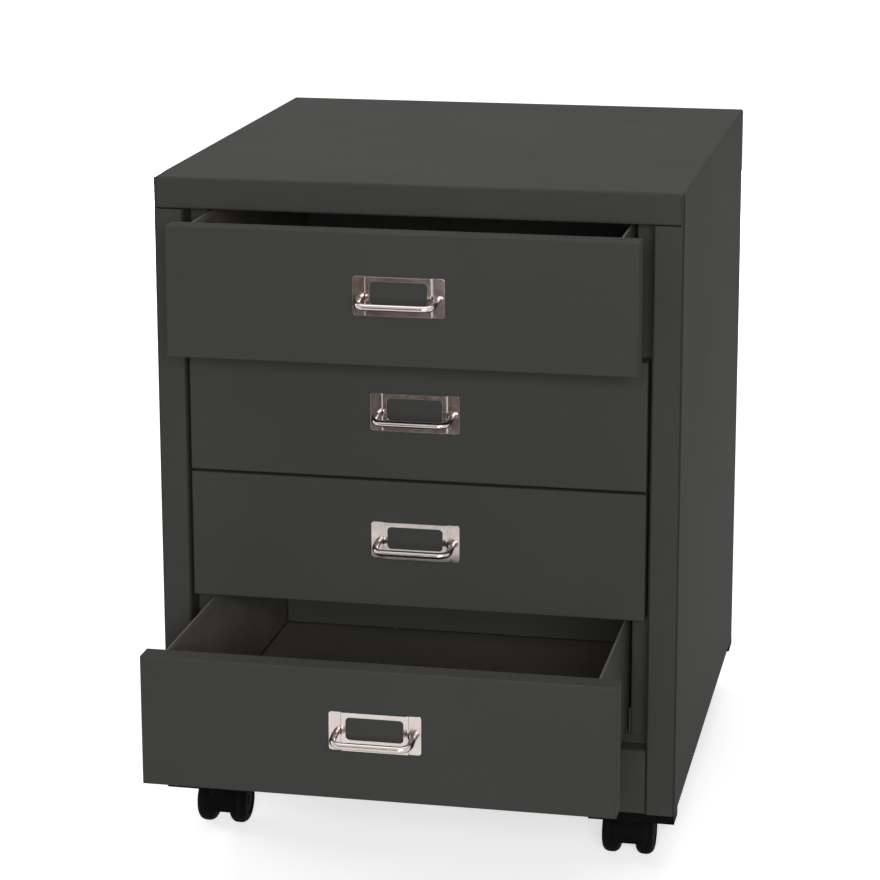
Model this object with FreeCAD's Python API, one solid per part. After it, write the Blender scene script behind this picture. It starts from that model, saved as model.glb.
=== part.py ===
import FreeCAD, Part
import math
import os

# Mobile four-drawer sheet-steel cabinet on twin-wheel castors, in millimetres.
# X runs to the viewer's right, Y runs back from the front, Z runs up from the floor.

# Body
BODY_WIDTH = 400.0
BODY_DEPTH = 430.0
BODY_HEIGHT = 480.0
SHEET = 1.0
FOLD = 1.0
STILE = 22.5
STILE_RETURN = 34.0
TOP_RAIL = 24.0
TOP_RAIL_LIP = 10.0
BASE_RAIL = 51.0
UPSTAND_CLEARANCE = 1.5
REAR_FLANGE = 18.0
LID_SKIRT = 3.0
CORNER_TURN = 2.5
SEAM = 0.4
FIT_GAP = 0.2
BACK_INSET = 1.1

# Posts that carry the runners
POST_FACE = 14.5
POST_WEB = 30.0
POST_FLANGE = 15.0
POST_FOOT_HEIGHT = 22.0
REAR_POST_INSET = 45.0
REAR_POST_WEB = 20.0
REAR_POST_FOOT = 15.0

# Runners with their nylon strips
RUNNER_SHEET = 1.2
RUNNER_LEAF = 22.0
RUNNER_LEDGE = 13.0
RUNNER_END_INSET = 2.0
RUNNER_RIVET_HEIGHT = 14.0
RUNNER_RIVET_INSET = 15.0
GLIDE_THICK = 1.0
GLIDE_INSET = 1.0
GLIDE_END_INSET = 2.0
SLIDE_CLEARANCE = 0.3
STOP_TAB_REACH = 8.0
STOP_TAB_LENGTH = 6.0

# Drawers, counted from the top
DRAWER_COUNT = 4
DRAWER_OPEN = (55.0, 0.0, 0.0, 142.0)
FRONT_DEPTH = 17.5
FRONT_GAP = 2.0
FRONT_CLEARANCE = 2.5
FRONT_REAR_CLEARANCE = 1.5
FRONT_EDGE = 1.2
FRONT_LIP_LAP = 3.5
FRONT_END_LIP = 10.0
CORNER_SLIT = 0.5
DRAWER_SHEET = 0.8
DRAWER_FOLD = 0.8
TRAY_SIDE_CLEARANCE = 2.5
TRAY_REAR_ROOM = 55.0
TRAY_RAISE = 5.0
TRAY_TOP_DROP = 0.5
HEM_HEIGHT = 6.0
BACK_FLANGE = 12.0
BACK_GAP = 0.6
BACK_DROP = 2.0
BACK_CORNER = 4.0
LUG_DROP = 4.0
LUG_THICK = 2.0
LUG_INSET = 2.0
LUG_CLEARANCE = 1.0
LUG_TAIL = 46.5

# Label holder and pull
HOLDER_WING = 5.5
HOLDER_HEIGHT = 29.0
HOLDER_RISE = 37.8
HOLDER_SHEET = 0.8
HOLDER_CORNER = 2.0
HOLDER_STEP = 1.2
HOLDER_STEP_INSET = 4.0
HOLDER_FOLD = 0.4
WINDOW_SIDE_BORDER = 3.25
WINDOW_TOP_BORDER = 3.5
WINDOW_RISE = 8.5
WINDOW_CORNER = 3.0
PULL_ROD = 5.0
PULL_SPACING = 57.0
PULL_REACH = 21.0
PULL_RISE = 13.0
PULL_DROOP = 3.0
PULL_BEND = 7.5
PULL_LEG = 4.0
PULL_LEG_BEND = 8.0
TENON = 3.5
TENON_RIM = 1.25
TENON_HEAD_THICK = 1.0

# Rivets and screws
RIVET = 3.2
RIVET_HEAD = 6.0
RIVET_HEAD_THICK = 0.8
DOME_SHARE = 0.7
BACK_RIVET_INSET = 10.0
BACK_RIVET_ROWS = 4
BACK_RIVET_COLUMNS = 3
SCREW = 3.8
SCREW_HEAD = 7.2
SCREW_HEAD_DEPTH = 2.0
SCREW_LENGTH = 11.0
SCREW_SLOT = 1.0
SCREW_SLOT_DEPTH = 0.8

# Castors
CORNERS = ("front_left", "front_right", "rear_left", "rear_right")
PLATE_THICK = 6.5
PLATE_LENGTH = 66.0
PLATE_DEPTH = 42.0
PLATE_CHAMFER = 20.0
PIN_INNER_EDGE = 28.0
PIN_DEPTH_INSET = 20.0
PIN = 7.0
PIN_RUNNING = 0.05
PIN_RIM = 1.0
PIN_HEAD_THICK = 1.5
SOCKET = 14.0
SOCKET_HEIGHT = 16.0
SWIVEL_GAP = 0.5
TRAIL = 12.0
WHEEL = 36.0
WHEEL_WIDTH = 14.0
SHOULDER_SHARE = 0.41
WHEEL_FACE_RIM = 0.85
WHEEL_DISH = 1.2
WHEEL_DISH_DEEP = 1.0
WHEEL_SIDE_GAP = 0.6
WHEEL_TOP_GAP = 1.5
WHEEL_RUNNING = 0.05
WHEEL_TREAD_GAP = 1.0
AXLE = 4.0
AXLE_END_GAP = 0.4
WHEEL_CAP = 1.6
HOOD_WEB = 10.8
HOOD_WIDTH = 24.0
HOOD_SHELL = 1.6
HOOD_DROP = 3.5
HOOD_REAR_REACH = 8.0
HOOD_NECK = 20.0
HOOD_NECK_HEIGHT = 9.0
# Screw places on a castor plate, inward from the cabinet's side and back from its end
SCREW_LENGTH_SHARES = (0.11, 0.89, 0.42, 0.68)
SCREW_DEPTH_SHARES = (0.26, 0.26, 0.88, 0.86)

OVERRUN = 2.0

# Levels and places that follow from the sizes above
FURTHEST_OPEN = max(DRAWER_OPEN)
FRONT = (FURTHEST_OPEN + PULL_REACH - BODY_DEPTH - RIVET_HEAD_THICK) / 2
BACK = FRONT + BODY_DEPTH
SIDE = BODY_WIDTH / 2
OPENING = SIDE - STILE
PLATE_UNDER = WHEEL + WHEEL_TOP_GAP
BOTTOM = PLATE_UNDER + PLATE_THICK
TOP = BOTTOM + BODY_HEIGHT
RAIL_UNDER = TOP - TOP_RAIL
RAIL_TOP = BOTTOM + BASE_RAIL
REVEAL = FRONT_DEPTH + FRONT_REAR_CLEARANCE
BASE_UPSTAND = FRONT_CLEARANCE + TRAY_RAISE - UPSTAND_CLEARANCE
POST_WEB_FACE = OPENING - POST_FACE
POST_FOOT = BOTTOM + POST_FOOT_HEIGHT
REAR_POST_FRONT = BODY_DEPTH - REAR_POST_INSET
CORNER_SIDE = SIDE - CORNER_TURN

# Runners and drawers
DRAWER_SPACE = RAIL_UNDER - RAIL_TOP - 2 * FRONT_CLEARANCE + FRONT_GAP
PITCH = DRAWER_SPACE / DRAWER_COUNT
FRONT_HEIGHT = PITCH - FRONT_GAP
FRONT_SIDE = OPENING - FRONT_CLEARANCE
TRAY_SIDE = POST_WEB_FACE - TRAY_SIDE_CLEARANCE
TRAY_LENGTH = BODY_DEPTH - TRAY_REAR_ROOM
FRONT_SIDE_LIP = FRONT_SIDE - TRAY_SIDE + FRONT_LIP_LAP
RUNNER_STACK = RUNNER_SHEET + GLIDE_THICK + SLIDE_CLEARANCE
RUNNER_INNER = POST_WEB_FACE - RUNNER_LEDGE
RUNNER_START = REVEAL + SHEET
RUNNER_END = REAR_POST_FRONT + REAR_POST_WEB - RUNNER_END_INSET
GLIDE_WIDTH = RUNNER_LEDGE - RUNNER_SHEET - FOLD - 2 * GLIDE_INSET
STOP_TAB_INNER = RUNNER_INNER - STOP_TAB_REACH
LUG_SIDE = STOP_TAB_INNER + LUG_INSET
LUG_WIDTH = STOP_TAB_REACH - LUG_INSET - LUG_CLEARANCE
LUG_PLACE = TRAY_LENGTH - LUG_TAIL - LUG_THICK

# Label holder and pull
HOLDER_SIDE = PULL_SPACING / 2 + HOLDER_WING
HOLDER_FRAME = PULL_SPACING / 2 - HOLDER_STEP_INSET
WINDOW_SIDE = HOLDER_FRAME - WINDOW_SIDE_BORDER
WINDOW_HEIGHT = HOLDER_HEIGHT - WINDOW_RISE - WINDOW_TOP_BORDER
TENON_HEAD = TENON / 2 + TENON_RIM

# Castors
PIN_SIDE = SIDE - PLATE_LENGTH + PIN_INNER_EDGE
PIN_LINE = FRONT + PIN_DEPTH_INSET
PIN_HEAD = PIN / 2 + PIN_RIM
SOCKET_TOP = BOTTOM + SHEET + SOCKET_HEIGHT
AXLE_LINE = PIN_LINE + TRAIL
AXLE_HEIGHT = WHEEL / 2
PIN_BOTTOM = AXLE_HEIGHT + AXLE / 2
HOOD_TOP = PLATE_UNDER - SWIVEL_GAP
HOOD_BOTTOM = AXLE_HEIGHT - HOOD_DROP
WHEEL_INNER = HOOD_WEB / 2 + WHEEL_SIDE_GAP
WHEEL_OUTER = WHEEL_INNER + WHEEL_WIDTH
WHEEL_SHOULDER = WHEEL_WIDTH * SHOULDER_SHARE
WHEEL_DISH_RADIUS = WHEEL / 2 - WHEEL_SHOULDER - WHEEL_FACE_RIM


def vec(x, y, z):
    return FreeCAD.Vector(x, y, z)


def slab(x_low, x_high, y_low, y_high, z_low, z_high):
    """A block between two opposite corners."""
    return Part.makeBox(x_high - x_low, y_high - y_low, z_high - z_low, vec(x_low, y_low, z_low))


def rod(radius, start, end):
    """A round bar between two points on its axis."""
    run = end.sub(start)
    return Part.makeCylinder(radius, run.Length, start, run)


def mirrored(shape):
    """The same shape on the other side of the middle plane."""
    return shape.mirror(vec(0, 0, 0), vec(1, 0, 0))


def turned_round(shape):
    """The same shape at the other end of the cabinet's depth."""
    return shape.mirror(vec(0, (FRONT + BACK) / 2, 0), vec(0, 1, 0))


def joined(shapes):
    """One solid from shapes that touch."""
    return shapes[0].fuse(shapes[1:]).removeSplitter()


def rounded_run(points, radii):
    """Edges along the points, each inner corner rounded by its radius."""
    edges = []
    start = points[0]
    for before, corner, after, radius in zip(points, points[1:], points[2:], radii):
        back = before.sub(corner).normalize()
        ahead = after.sub(corner).normalize()
        half = back.getAngle(ahead) / 2
        tangent = radius / math.tan(half)
        middle = back.add(ahead).normalize().multiply(radius / math.sin(half) - radius)
        leave = corner.add(FreeCAD.Vector(back).multiply(tangent))
        arrive = corner.add(FreeCAD.Vector(ahead).multiply(tangent))
        if start.distanceToPoint(leave) > tangent / 1000:
            edges.append(Part.LineSegment(start, leave).toShape())
        edges.append(Part.Arc(leave, corner.add(middle), arrive).toShape())
        start = arrive
    edges.append(Part.LineSegment(start, points[-1]).toShape())
    return edges


def folded_sheet(path, sheet, fold, side, place, run):
    """A sheet folded along a flat path, on its left (side 1) or right (side -1), and run along a line.

    The path holds pairs of numbers, and place turns such a pair into a point in space.
    """
    flat = [vec(u, v, 0) for u, v in path]
    ways = [b.sub(a).normalize() for a, b in zip(flat, flat[1:])]
    normals = [vec(-way.y, way.x, 0).multiply(side) for way in ways]
    other = [flat[0].add(FreeCAD.Vector(normals[0]).multiply(sheet))]
    near_radii = []
    far_radii = []
    for corner, way, next_way, normal, next_normal in zip(
            flat[1:], ways, ways[1:], normals, normals[1:]):
        both = normal.add(next_normal)
        other.append(corner.add(both.multiply(sheet / (1 + normal.dot(next_normal)))))
        turns_in = way.cross(next_way).z * side > 0
        near_radii.append(fold + sheet if turns_in else fold)
        far_radii.append(fold if turns_in else fold + sheet)
    other.append(flat[-1].add(FreeCAD.Vector(normals[-1]).multiply(sheet)))
    near_line = [place(point.x, point.y) for point in flat]
    far_line = [place(point.x, point.y) for point in other]
    edges = rounded_run(near_line, near_radii)
    edges.append(Part.LineSegment(near_line[-1], far_line[-1]).toShape())
    edges.extend(rounded_run(far_line[::-1], far_radii[::-1]))
    edges.append(Part.LineSegment(far_line[0], near_line[0]).toShape())
    solid = Part.Face(Part.Wire(Part.__sortEdges__(edges))).extrude(run)
    if solid.Volume < 0:
        solid.reverse()
    return solid


def edges_where(shape, test):
    """The straight edges whose two ends both pass a test."""
    chosen = []
    for edge in shape.Edges:
        ends = [vertex.Point for vertex in edge.Vertexes]
        if len(ends) == 2 and test(ends[0]) and test(ends[1]):
            chosen.append(edge)
    return chosen


def near(value, target):
    return abs(value - target) < SHEET / 1000


def front_bottom(number):
    """Underside of a drawer's front, drawer 1 on top."""
    return RAIL_TOP + FRONT_CLEARANCE + (DRAWER_COUNT - number) * PITCH


def tray_bottom(number):
    return front_bottom(number) + TRAY_RAISE


def tray_top(number):
    return front_bottom(number) + FRONT_HEIGHT - TRAY_TOP_DROP


def drawer_face(number):
    """The plane of a drawer's front face as it stands open."""
    return FRONT - DRAWER_OPEN[number - 1]


def runner_bottom(number):
    return tray_bottom(number) - RUNNER_STACK


# Body shell

def lid_block(inset, z_low, z_high, radius):
    """A slab with the cabinet's plan, its upright and upper edges rounded."""
    block = slab(-SIDE + inset, SIDE - inset, FRONT + inset, BACK - inset, z_low, z_high)
    upright = [edge for edge in block.Edges if near(edge.Length, z_high - z_low)]
    block = block.makeFillet(radius, upright)
    crown = [edge for edge in block.Edges
             if all(near(vertex.Z, z_high) for vertex in edge.Vertexes)]
    return block.makeFillet(radius, crown)


def top_panel():
    lid = lid_block(0, TOP - LID_SKIRT, TOP, FOLD + SHEET)
    lid = lid.cut(lid_block(SHEET, TOP - LID_SKIRT - OVERRUN, TOP - SHEET, FOLD))
    half = CORNER_SIDE - FIT_GAP
    rail_path = [
        (FRONT, TOP - LID_SKIRT),
        (FRONT, RAIL_UNDER),
        (FRONT + REVEAL, RAIL_UNDER),
        (FRONT + REVEAL, RAIL_UNDER + TOP_RAIL_LIP),
    ]
    rail = folded_sheet(rail_path, SHEET, FOLD, 1, lambda y, z: vec(-half, y, z), vec(2 * half, 0, 0))
    flange = slab(-half, half, BACK - SHEET, BACK, TOP - REAR_FLANGE, TOP - LID_SKIRT)
    panel = joined([lid, rail, flange])
    return panel.cut(back_rivet_holes())


def side_panel():
    """The right-hand side with its stile, folded from one sheet."""
    path = [
        (OPENING, BACK),
        (SIDE, BACK),
        (SIDE, FRONT),
        (OPENING, FRONT),
        (OPENING, FRONT + STILE_RETURN),
    ]
    panel = folded_sheet(path, SHEET, FOLD, -1, lambda x, y: vec(x, y, BOTTOM),
                         vec(0, 0, TOP - LID_SKIRT - BOTTOM))
    rail_room = slab(OPENING - OVERRUN, CORNER_SIDE, FRONT - OVERRUN, FRONT + STILE_RETURN + OVERRUN,
                     RAIL_UNDER - SEAM, TOP)
    flange_room = slab(OPENING - OVERRUN, CORNER_SIDE, BACK - SHEET - FOLD, BACK + OVERRUN,
                       TOP - REAR_FLANGE - SEAM, TOP)
    base_room = slab(OPENING - OVERRUN, SIDE - SHEET, FRONT + SHEET, BACK - SHEET, BOTTOM, BOTTOM + SHEET)
    return panel.cut([rail_room, flange_room, base_room]).cut(back_rivet_holes())


def base_panel():
    half = OPENING - FIT_GAP
    path = [
        (BACK, BOTTOM + REAR_FLANGE),
        (BACK, BOTTOM),
        (FRONT, BOTTOM),
        (FRONT, RAIL_TOP),
        (FRONT + REVEAL - SHEET, RAIL_TOP),
        (FRONT + REVEAL - SHEET, RAIL_TOP + BASE_UPSTAND),
    ]
    pan = folded_sheet(path, SHEET, FOLD, -1, lambda y, z: vec(-half, y, z), vec(2 * half, 0, 0))
    wings = [slab(low, high, FRONT + SHEET, BACK - SHEET, BOTTOM, BOTTOM + SHEET)
             for low, high in ((-SIDE + SHEET, -half), (half, SIDE - SHEET))]
    panel = joined([pan] + wings)
    holes = [castor_copy(socket_tube(SOCKET / 2 + FIT_GAP, OVERRUN), corner) for corner in CORNERS]
    holes += [rod(SCREW / 2, vec(x, y, BOTTOM - OVERRUN), vec(x, y, BOTTOM + SHEET + OVERRUN))
              for corner in CORNERS for x, y in screw_places(corner)]
    return panel.cut(holes).cut(back_rivet_holes())


def back_panel():
    half = SIDE - SHEET - BACK_INSET
    low = BOTTOM + SHEET + BACK_INSET
    high = TOP - SHEET - BACK_INSET
    panel = slab(-half, half, BACK - 2 * SHEET, BACK - SHEET, low, high)
    return panel.cut(back_rivet_holes())


def back_rivet_places():
    """Rivets through the rear flanges, spaced evenly down the sides and along top and base."""
    side_line = SIDE - BACK_RIVET_INSET
    low = BOTTOM + REAR_FLANGE + BACK_RIVET_INSET
    high = TOP - REAR_FLANGE - BACK_RIVET_INSET
    places = []
    for row in range(BACK_RIVET_ROWS):
        z = low + (high - low) * row / (BACK_RIVET_ROWS - 1)
        places += [(-side_line, z), (side_line, z)]
    for column in range(BACK_RIVET_COLUMNS):
        x = (column - (BACK_RIVET_COLUMNS - 1) / 2) * side_line * 2 / (BACK_RIVET_COLUMNS + 1)
        places += [(x, TOP - BACK_RIVET_INSET), (x, BOTTOM + BACK_RIVET_INSET)]
    return places


def back_rivet_holes():
    return [rod(RIVET / 2, vec(x, BACK - 2 * SHEET - OVERRUN, z), vec(x, BACK + OVERRUN, z))
            for x, z in back_rivet_places()]


def domed_head(radius, thick, seat, way):
    """A low domed head that stands on its seat."""
    head = Part.makeCylinder(radius, thick, seat, way)
    rim = [edge for edge in head.Edges
           if edge.Closed and edge.CenterOfMass.distanceToPoint(seat) > thick / 2]
    return head.makeFillet(thick * DOME_SHARE, rim[:1])


def back_rivets():
    rivets = []
    for x, z in back_rivet_places():
        inner = vec(x, BACK - 2 * SHEET, z)
        seat = vec(x, BACK, z)
        head = domed_head(RIVET_HEAD / 2, RIVET_HEAD_THICK, seat, vec(0, 1, 0))
        tail = rod(RIVET_HEAD / 2, inner.sub(vec(0, RIVET_HEAD_THICK, 0)), inner)
        rivets.append(joined([head, rod(RIVET / 2, inner, seat), tail]))
    return rivets


# Posts, runners and glides

def front_post():
    """Right-hand front post: a channel whose face closes the reveal beside the drawers."""
    path = [
        (POST_WEB_FACE, FRONT + REVEAL + POST_WEB),
        (POST_WEB_FACE, FRONT + REVEAL),
        (OPENING, FRONT + REVEAL),
        (OPENING, FRONT + REVEAL + POST_FLANGE),
    ]
    post = folded_sheet(path, SHEET, FOLD, 1, lambda x, y: vec(x, y, POST_FOOT),
                        vec(0, 0, TOP - SHEET - POST_FOOT))
    return post.cut(runner_rivet_holes())


def rear_post():
    """Right-hand rear post: a channel on two feet against the side."""
    wall = SIDE - SHEET
    near_leg = FRONT + REAR_POST_FRONT
    far_leg = near_leg + REAR_POST_WEB
    path = [
        (wall, near_leg - REAR_POST_FOOT),
        (wall, near_leg),
        (POST_WEB_FACE + SHEET, near_leg),
        (POST_WEB_FACE + SHEET, far_leg),
        (wall, far_leg),
        (wall, far_leg + REAR_POST_FOOT),
    ]
    post = folded_sheet(path, SHEET, FOLD, 1, lambda x, y: vec(x, y, POST_FOOT),
                        vec(0, 0, TOP - LID_SKIRT - POST_FOOT))
    return post.cut(runner_rivet_holes())


def runner_rivet_places(number):
    """Depth and height of the two rivets of a runner."""
    height = runner_bottom(number) + RUNNER_RIVET_HEIGHT
    return [(FRONT + REVEAL + RUNNER_RIVET_INSET, height),
            (FRONT + REAR_POST_FRONT + REAR_POST_WEB / 2, height)]


def runner_rivet_holes():
    inner = POST_WEB_FACE - RUNNER_SHEET - OVERRUN
    outer = POST_WEB_FACE + SHEET + OVERRUN
    return [rod(RIVET / 2, vec(inner, y, z), vec(outer, y, z))
            for number in range(1, DRAWER_COUNT + 1) for y, z in runner_rivet_places(number)]


def runner(number):
    """Right-hand runner: an angle whose ledge carries the drawer, with a stop tab at its front."""
    base = runner_bottom(number)
    start = FRONT + RUNNER_START
    path = [
        (POST_WEB_FACE, base + RUNNER_LEAF),
        (POST_WEB_FACE, base),
        (RUNNER_INNER, base),
    ]
    angle = folded_sheet(path, RUNNER_SHEET, FOLD, -1, lambda x, z: vec(x, start, z),
                         vec(0, RUNNER_END - RUNNER_START, 0))
    tab = slab(STOP_TAB_INNER, RUNNER_INNER, start, start + STOP_TAB_LENGTH, base, base + RUNNER_SHEET)
    return joined([angle, tab]).cut(runner_rivet_holes())


def glide(number):
    """Nylon strip on the right-hand ledge, which the drawer slides on."""
    base = runner_bottom(number) + RUNNER_SHEET
    inner = RUNNER_INNER + GLIDE_INSET
    return slab(inner, inner + GLIDE_WIDTH, FRONT + RUNNER_START + GLIDE_END_INSET,
                FRONT + RUNNER_END - GLIDE_END_INSET, base, base + GLIDE_THICK)


def runner_rivets():
    rivets = []
    inner = POST_WEB_FACE - RUNNER_SHEET
    outer = POST_WEB_FACE + SHEET
    for number in range(1, DRAWER_COUNT + 1):
        for y, z in runner_rivet_places(number):
            shank = rod(RIVET / 2, vec(inner, y, z), vec(outer, y, z))
            head = domed_head(RIVET_HEAD / 2, RIVET_HEAD_THICK, vec(outer, y, z), vec(1, 0, 0))
            rivets.append(joined([shank, head]))
    return rivets + [mirrored(rivet) for rivet in rivets]


# Drawers

def drawer_front(number):
    """Folded pan that closes flush between the stiles."""
    half = FRONT_SIDE
    face = drawer_face(number)
    rear = face + FRONT_DEPTH
    low = front_bottom(number)
    high = low + FRONT_HEIGHT
    block = slab(-half, half, face, rear, low, high)
    block = block.makeFillet(FRONT_EDGE, edges_where(block, lambda point: near(point.y, face)))
    inner = slab(-half + DRAWER_SHEET, half - DRAWER_SHEET, face + DRAWER_SHEET, rear - DRAWER_SHEET,
                 low + DRAWER_SHEET, high - DRAWER_SHEET)
    inner_face = face + DRAWER_SHEET
    inner = inner.makeFillet(FRONT_EDGE - DRAWER_SHEET / 2,
                             edges_where(inner, lambda point: near(point.y, inner_face)))
    window = slab(-half + FRONT_SIDE_LIP, half - FRONT_SIDE_LIP, rear - DRAWER_SHEET - OVERRUN,
                  rear + OVERRUN, low + FRONT_END_LIP, high - FRONT_END_LIP)
    slits = []
    for x in (-half, half - CORNER_SLIT):
        for z in (low, high - CORNER_SLIT):
            slits.append(slab(x, x + CORNER_SLIT, face + FRONT_EDGE, rear, z, z + CORNER_SLIT))
    return block.cut([inner, window] + slits).cut(tenon_holes(number))


def tray(number):
    """Floor, sides and front wall of a drawer, with hemmed upper edges and two stop lugs."""
    low = tray_bottom(number)
    high = tray_top(number)
    face = drawer_face(number)
    start = face + FRONT_DEPTH
    end = face + TRAY_LENGTH
    path = [(-TRAY_SIDE, high), (-TRAY_SIDE, low), (TRAY_SIDE, low), (TRAY_SIDE, high)]
    trough = folded_sheet(path, DRAWER_SHEET, DRAWER_FOLD, 1, lambda x, z: vec(x, start, z),
                          vec(0, end - start, 0))
    inside = TRAY_SIDE - DRAWER_SHEET
    wall = slab(-inside, inside, start, start + DRAWER_SHEET, low + DRAWER_SHEET, high)
    hem = slab(inside - DRAWER_SHEET, inside, start, end, high - HEM_HEIGHT, high)
    lug = slab(LUG_SIDE, LUG_SIDE + LUG_WIDTH, face + LUG_PLACE, face + LUG_PLACE + LUG_THICK,
               low - LUG_DROP, low)
    return joined([trough, wall, hem, mirrored(hem), lug, mirrored(lug)])


def drawer_back(number):
    """Back wall with flanges turned to the rear, set just clear of the sides."""
    face = drawer_face(number)
    end = face + TRAY_LENGTH
    start = end - BACK_FLANGE
    half = TRAY_SIDE - DRAWER_SHEET - BACK_GAP
    low = tray_bottom(number) + DRAWER_SHEET
    high = tray_top(number) - BACK_DROP
    block = slab(-half, half, start, end, low, high)
    front_edges = [edge for edge in edges_where(block, lambda point: near(point.y, start))
                   if not near(edge.CenterOfMass.z, high)]
    block = block.makeFillet(DRAWER_FOLD + DRAWER_SHEET, front_edges)
    hollow = slab(-half + DRAWER_SHEET, half - DRAWER_SHEET, start + DRAWER_SHEET, end + OVERRUN,
                  low + DRAWER_SHEET, high + OVERRUN)
    hollow_front = start + DRAWER_SHEET
    hollow_edges = [edge for edge in edges_where(hollow, lambda point: near(point.y, hollow_front))
                    if not near(edge.CenterOfMass.z, high + OVERRUN)]
    hollow = hollow.makeFillet(DRAWER_FOLD, hollow_edges)
    hem_room = slab(half - DRAWER_SHEET - BACK_GAP, half + OVERRUN, start - OVERRUN, end + OVERRUN,
                    tray_top(number) - HEM_HEIGHT - BACK_GAP, high + OVERRUN)
    wall = block.cut([hollow, hem_room, mirrored(hem_room)])
    corner_edges = [edge for edge in wall.Edges
                    if near(edge.Length, DRAWER_SHEET) and near(edge.CenterOfMass.z, high)]
    return wall.makeFillet(BACK_CORNER, corner_edges) if corner_edges else wall


def holder_bottom(number):
    return front_bottom(number) + HOLDER_RISE


def pull_height(number):
    return holder_bottom(number) + PULL_RISE


def tenon_holes(number):
    face = drawer_face(number)
    z = pull_height(number)
    return [rod(TENON / 2, vec(x, face - HOLDER_SHEET - HOLDER_STEP - OVERRUN, z),
                vec(x, face + DRAWER_SHEET + OVERRUN, z))
            for x in (-PULL_SPACING / 2, PULL_SPACING / 2)]


def label_holder(number):
    """Pressed plate whose raised middle frames the label."""
    face = drawer_face(number)
    low = holder_bottom(number)
    path = [(-HOLDER_SIDE, face), (-HOLDER_FRAME, face), (-HOLDER_FRAME, face - HOLDER_STEP),
            (HOLDER_FRAME, face - HOLDER_STEP), (HOLDER_FRAME, face), (HOLDER_SIDE, face)]
    plate = folded_sheet(path, HOLDER_SHEET, HOLDER_FOLD, -1, lambda x, y: vec(x, y, low),
                         vec(0, 0, HOLDER_HEIGHT))
    corners = [edge for edge in plate.Edges
               if near(edge.Length, HOLDER_SHEET) and near(abs(edge.CenterOfMass.x), HOLDER_SIDE)]
    plate = plate.makeFillet(HOLDER_CORNER, corners)
    window_low = low + WINDOW_RISE
    window = slab(-WINDOW_SIDE, WINDOW_SIDE, face - HOLDER_STEP - HOLDER_SHEET - OVERRUN,
                  face + OVERRUN, window_low, window_low + WINDOW_HEIGHT)
    depth_edges = [edge for edge in window.Edges
                   if near(edge.Length, HOLDER_STEP + HOLDER_SHEET + 2 * OVERRUN)]
    window = window.makeFillet(WINDOW_CORNER, depth_edges)
    return plate.cut(window).cut(tenon_holes(number))


def pull(number):
    """Bent rod that stands out and droops a little, riveted through the holder and the front."""
    seat = drawer_face(number) - HOLDER_SHEET
    side = PULL_SPACING / 2
    high = pull_height(number)
    bar_y = drawer_face(number) - PULL_REACH + PULL_ROD / 2
    half_path = [vec(-side, seat, high), vec(-side, seat - PULL_LEG, high),
                 vec(-side, bar_y, high - PULL_DROOP)]
    other_half = [vec(-point.x, point.y, point.z) for point in half_path[::-1]]
    radii = [PULL_LEG_BEND, PULL_BEND, PULL_BEND, PULL_LEG_BEND]
    spine = Part.Wire(rounded_run(half_path + other_half, radii))
    section = Part.Wire(Part.makeCircle(PULL_ROD / 2, half_path[0], vec(0, 1, 0)))
    bar = spine.makePipeShell([section], True, False)
    pieces = [bar]
    inner = drawer_face(number) + DRAWER_SHEET
    for x in (-side, side):
        pieces.append(rod(TENON / 2, vec(x, seat, high), vec(x, inner, high)))
        pieces.append(domed_head(TENON_HEAD, TENON_HEAD_THICK, vec(x, inner, high), vec(0, 1, 0)))
    return joined(pieces)


# Castors, drawn at the front right and copied to the other corners

def on_pin(z):
    """The point at a height on the swivel axis."""
    return vec(PIN_SIDE, PIN_LINE, z)


def on_axle(reach):
    """The point on the axle at a distance to the right of the castor's middle."""
    return vec(PIN_SIDE + reach, AXLE_LINE, AXLE_HEIGHT)


def castor_copy(shape, corner):
    """Front-right shape taken to the named corner."""
    if corner.endswith("left"):
        shape = mirrored(shape)
    if corner.startswith("rear"):
        shape = turned_round(shape)
    return shape


def screw_places(corner):
    """Screw axes of the named corner's plate."""
    places = []
    for length_share, depth_share in zip(SCREW_LENGTH_SHARES, SCREW_DEPTH_SHARES):
        x = SIDE - PLATE_LENGTH * length_share
        x = -x if corner.endswith("left") else x
        backward = PLATE_DEPTH * depth_share
        y = BACK - backward if corner.startswith("rear") else FRONT + backward
        places.append((x, y))
    return places


def socket_tube(radius, extra):
    """Round bar from the plate's underside to the socket's top."""
    return rod(radius, on_pin(PLATE_UNDER - extra), on_pin(SOCKET_TOP + extra))


def castor_plate():
    """Corner plate with its swivel socket."""
    outline = [
        vec(SIDE, FRONT, PLATE_UNDER),
        vec(SIDE - PLATE_LENGTH, FRONT, PLATE_UNDER),
        vec(SIDE - PLATE_LENGTH, FRONT + PLATE_DEPTH - PLATE_CHAMFER, PLATE_UNDER),
        vec(SIDE - PLATE_LENGTH + PLATE_CHAMFER, FRONT + PLATE_DEPTH, PLATE_UNDER),
        vec(SIDE - PLATE_CHAMFER, FRONT + PLATE_DEPTH, PLATE_UNDER),
        vec(SIDE, FRONT + PLATE_DEPTH - PLATE_CHAMFER, PLATE_UNDER),
    ]
    plate = Part.Face(Part.makePolygon(outline + outline[:1])).extrude(vec(0, 0, PLATE_THICK))
    plate = joined([plate, socket_tube(SOCKET / 2, 0)])
    bore = socket_tube(PIN / 2 + PIN_RUNNING, OVERRUN)
    head_room = rod(PIN_HEAD + PIN_RUNNING, on_pin(SOCKET_TOP - PIN_HEAD_THICK - 2 * SWIVEL_GAP),
                    on_pin(SOCKET_TOP + OVERRUN))
    holes = [screw_body(x, y, True) for x, y in screw_places("front_right")]
    return plate.cut([bore, head_room] + holes)


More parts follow.
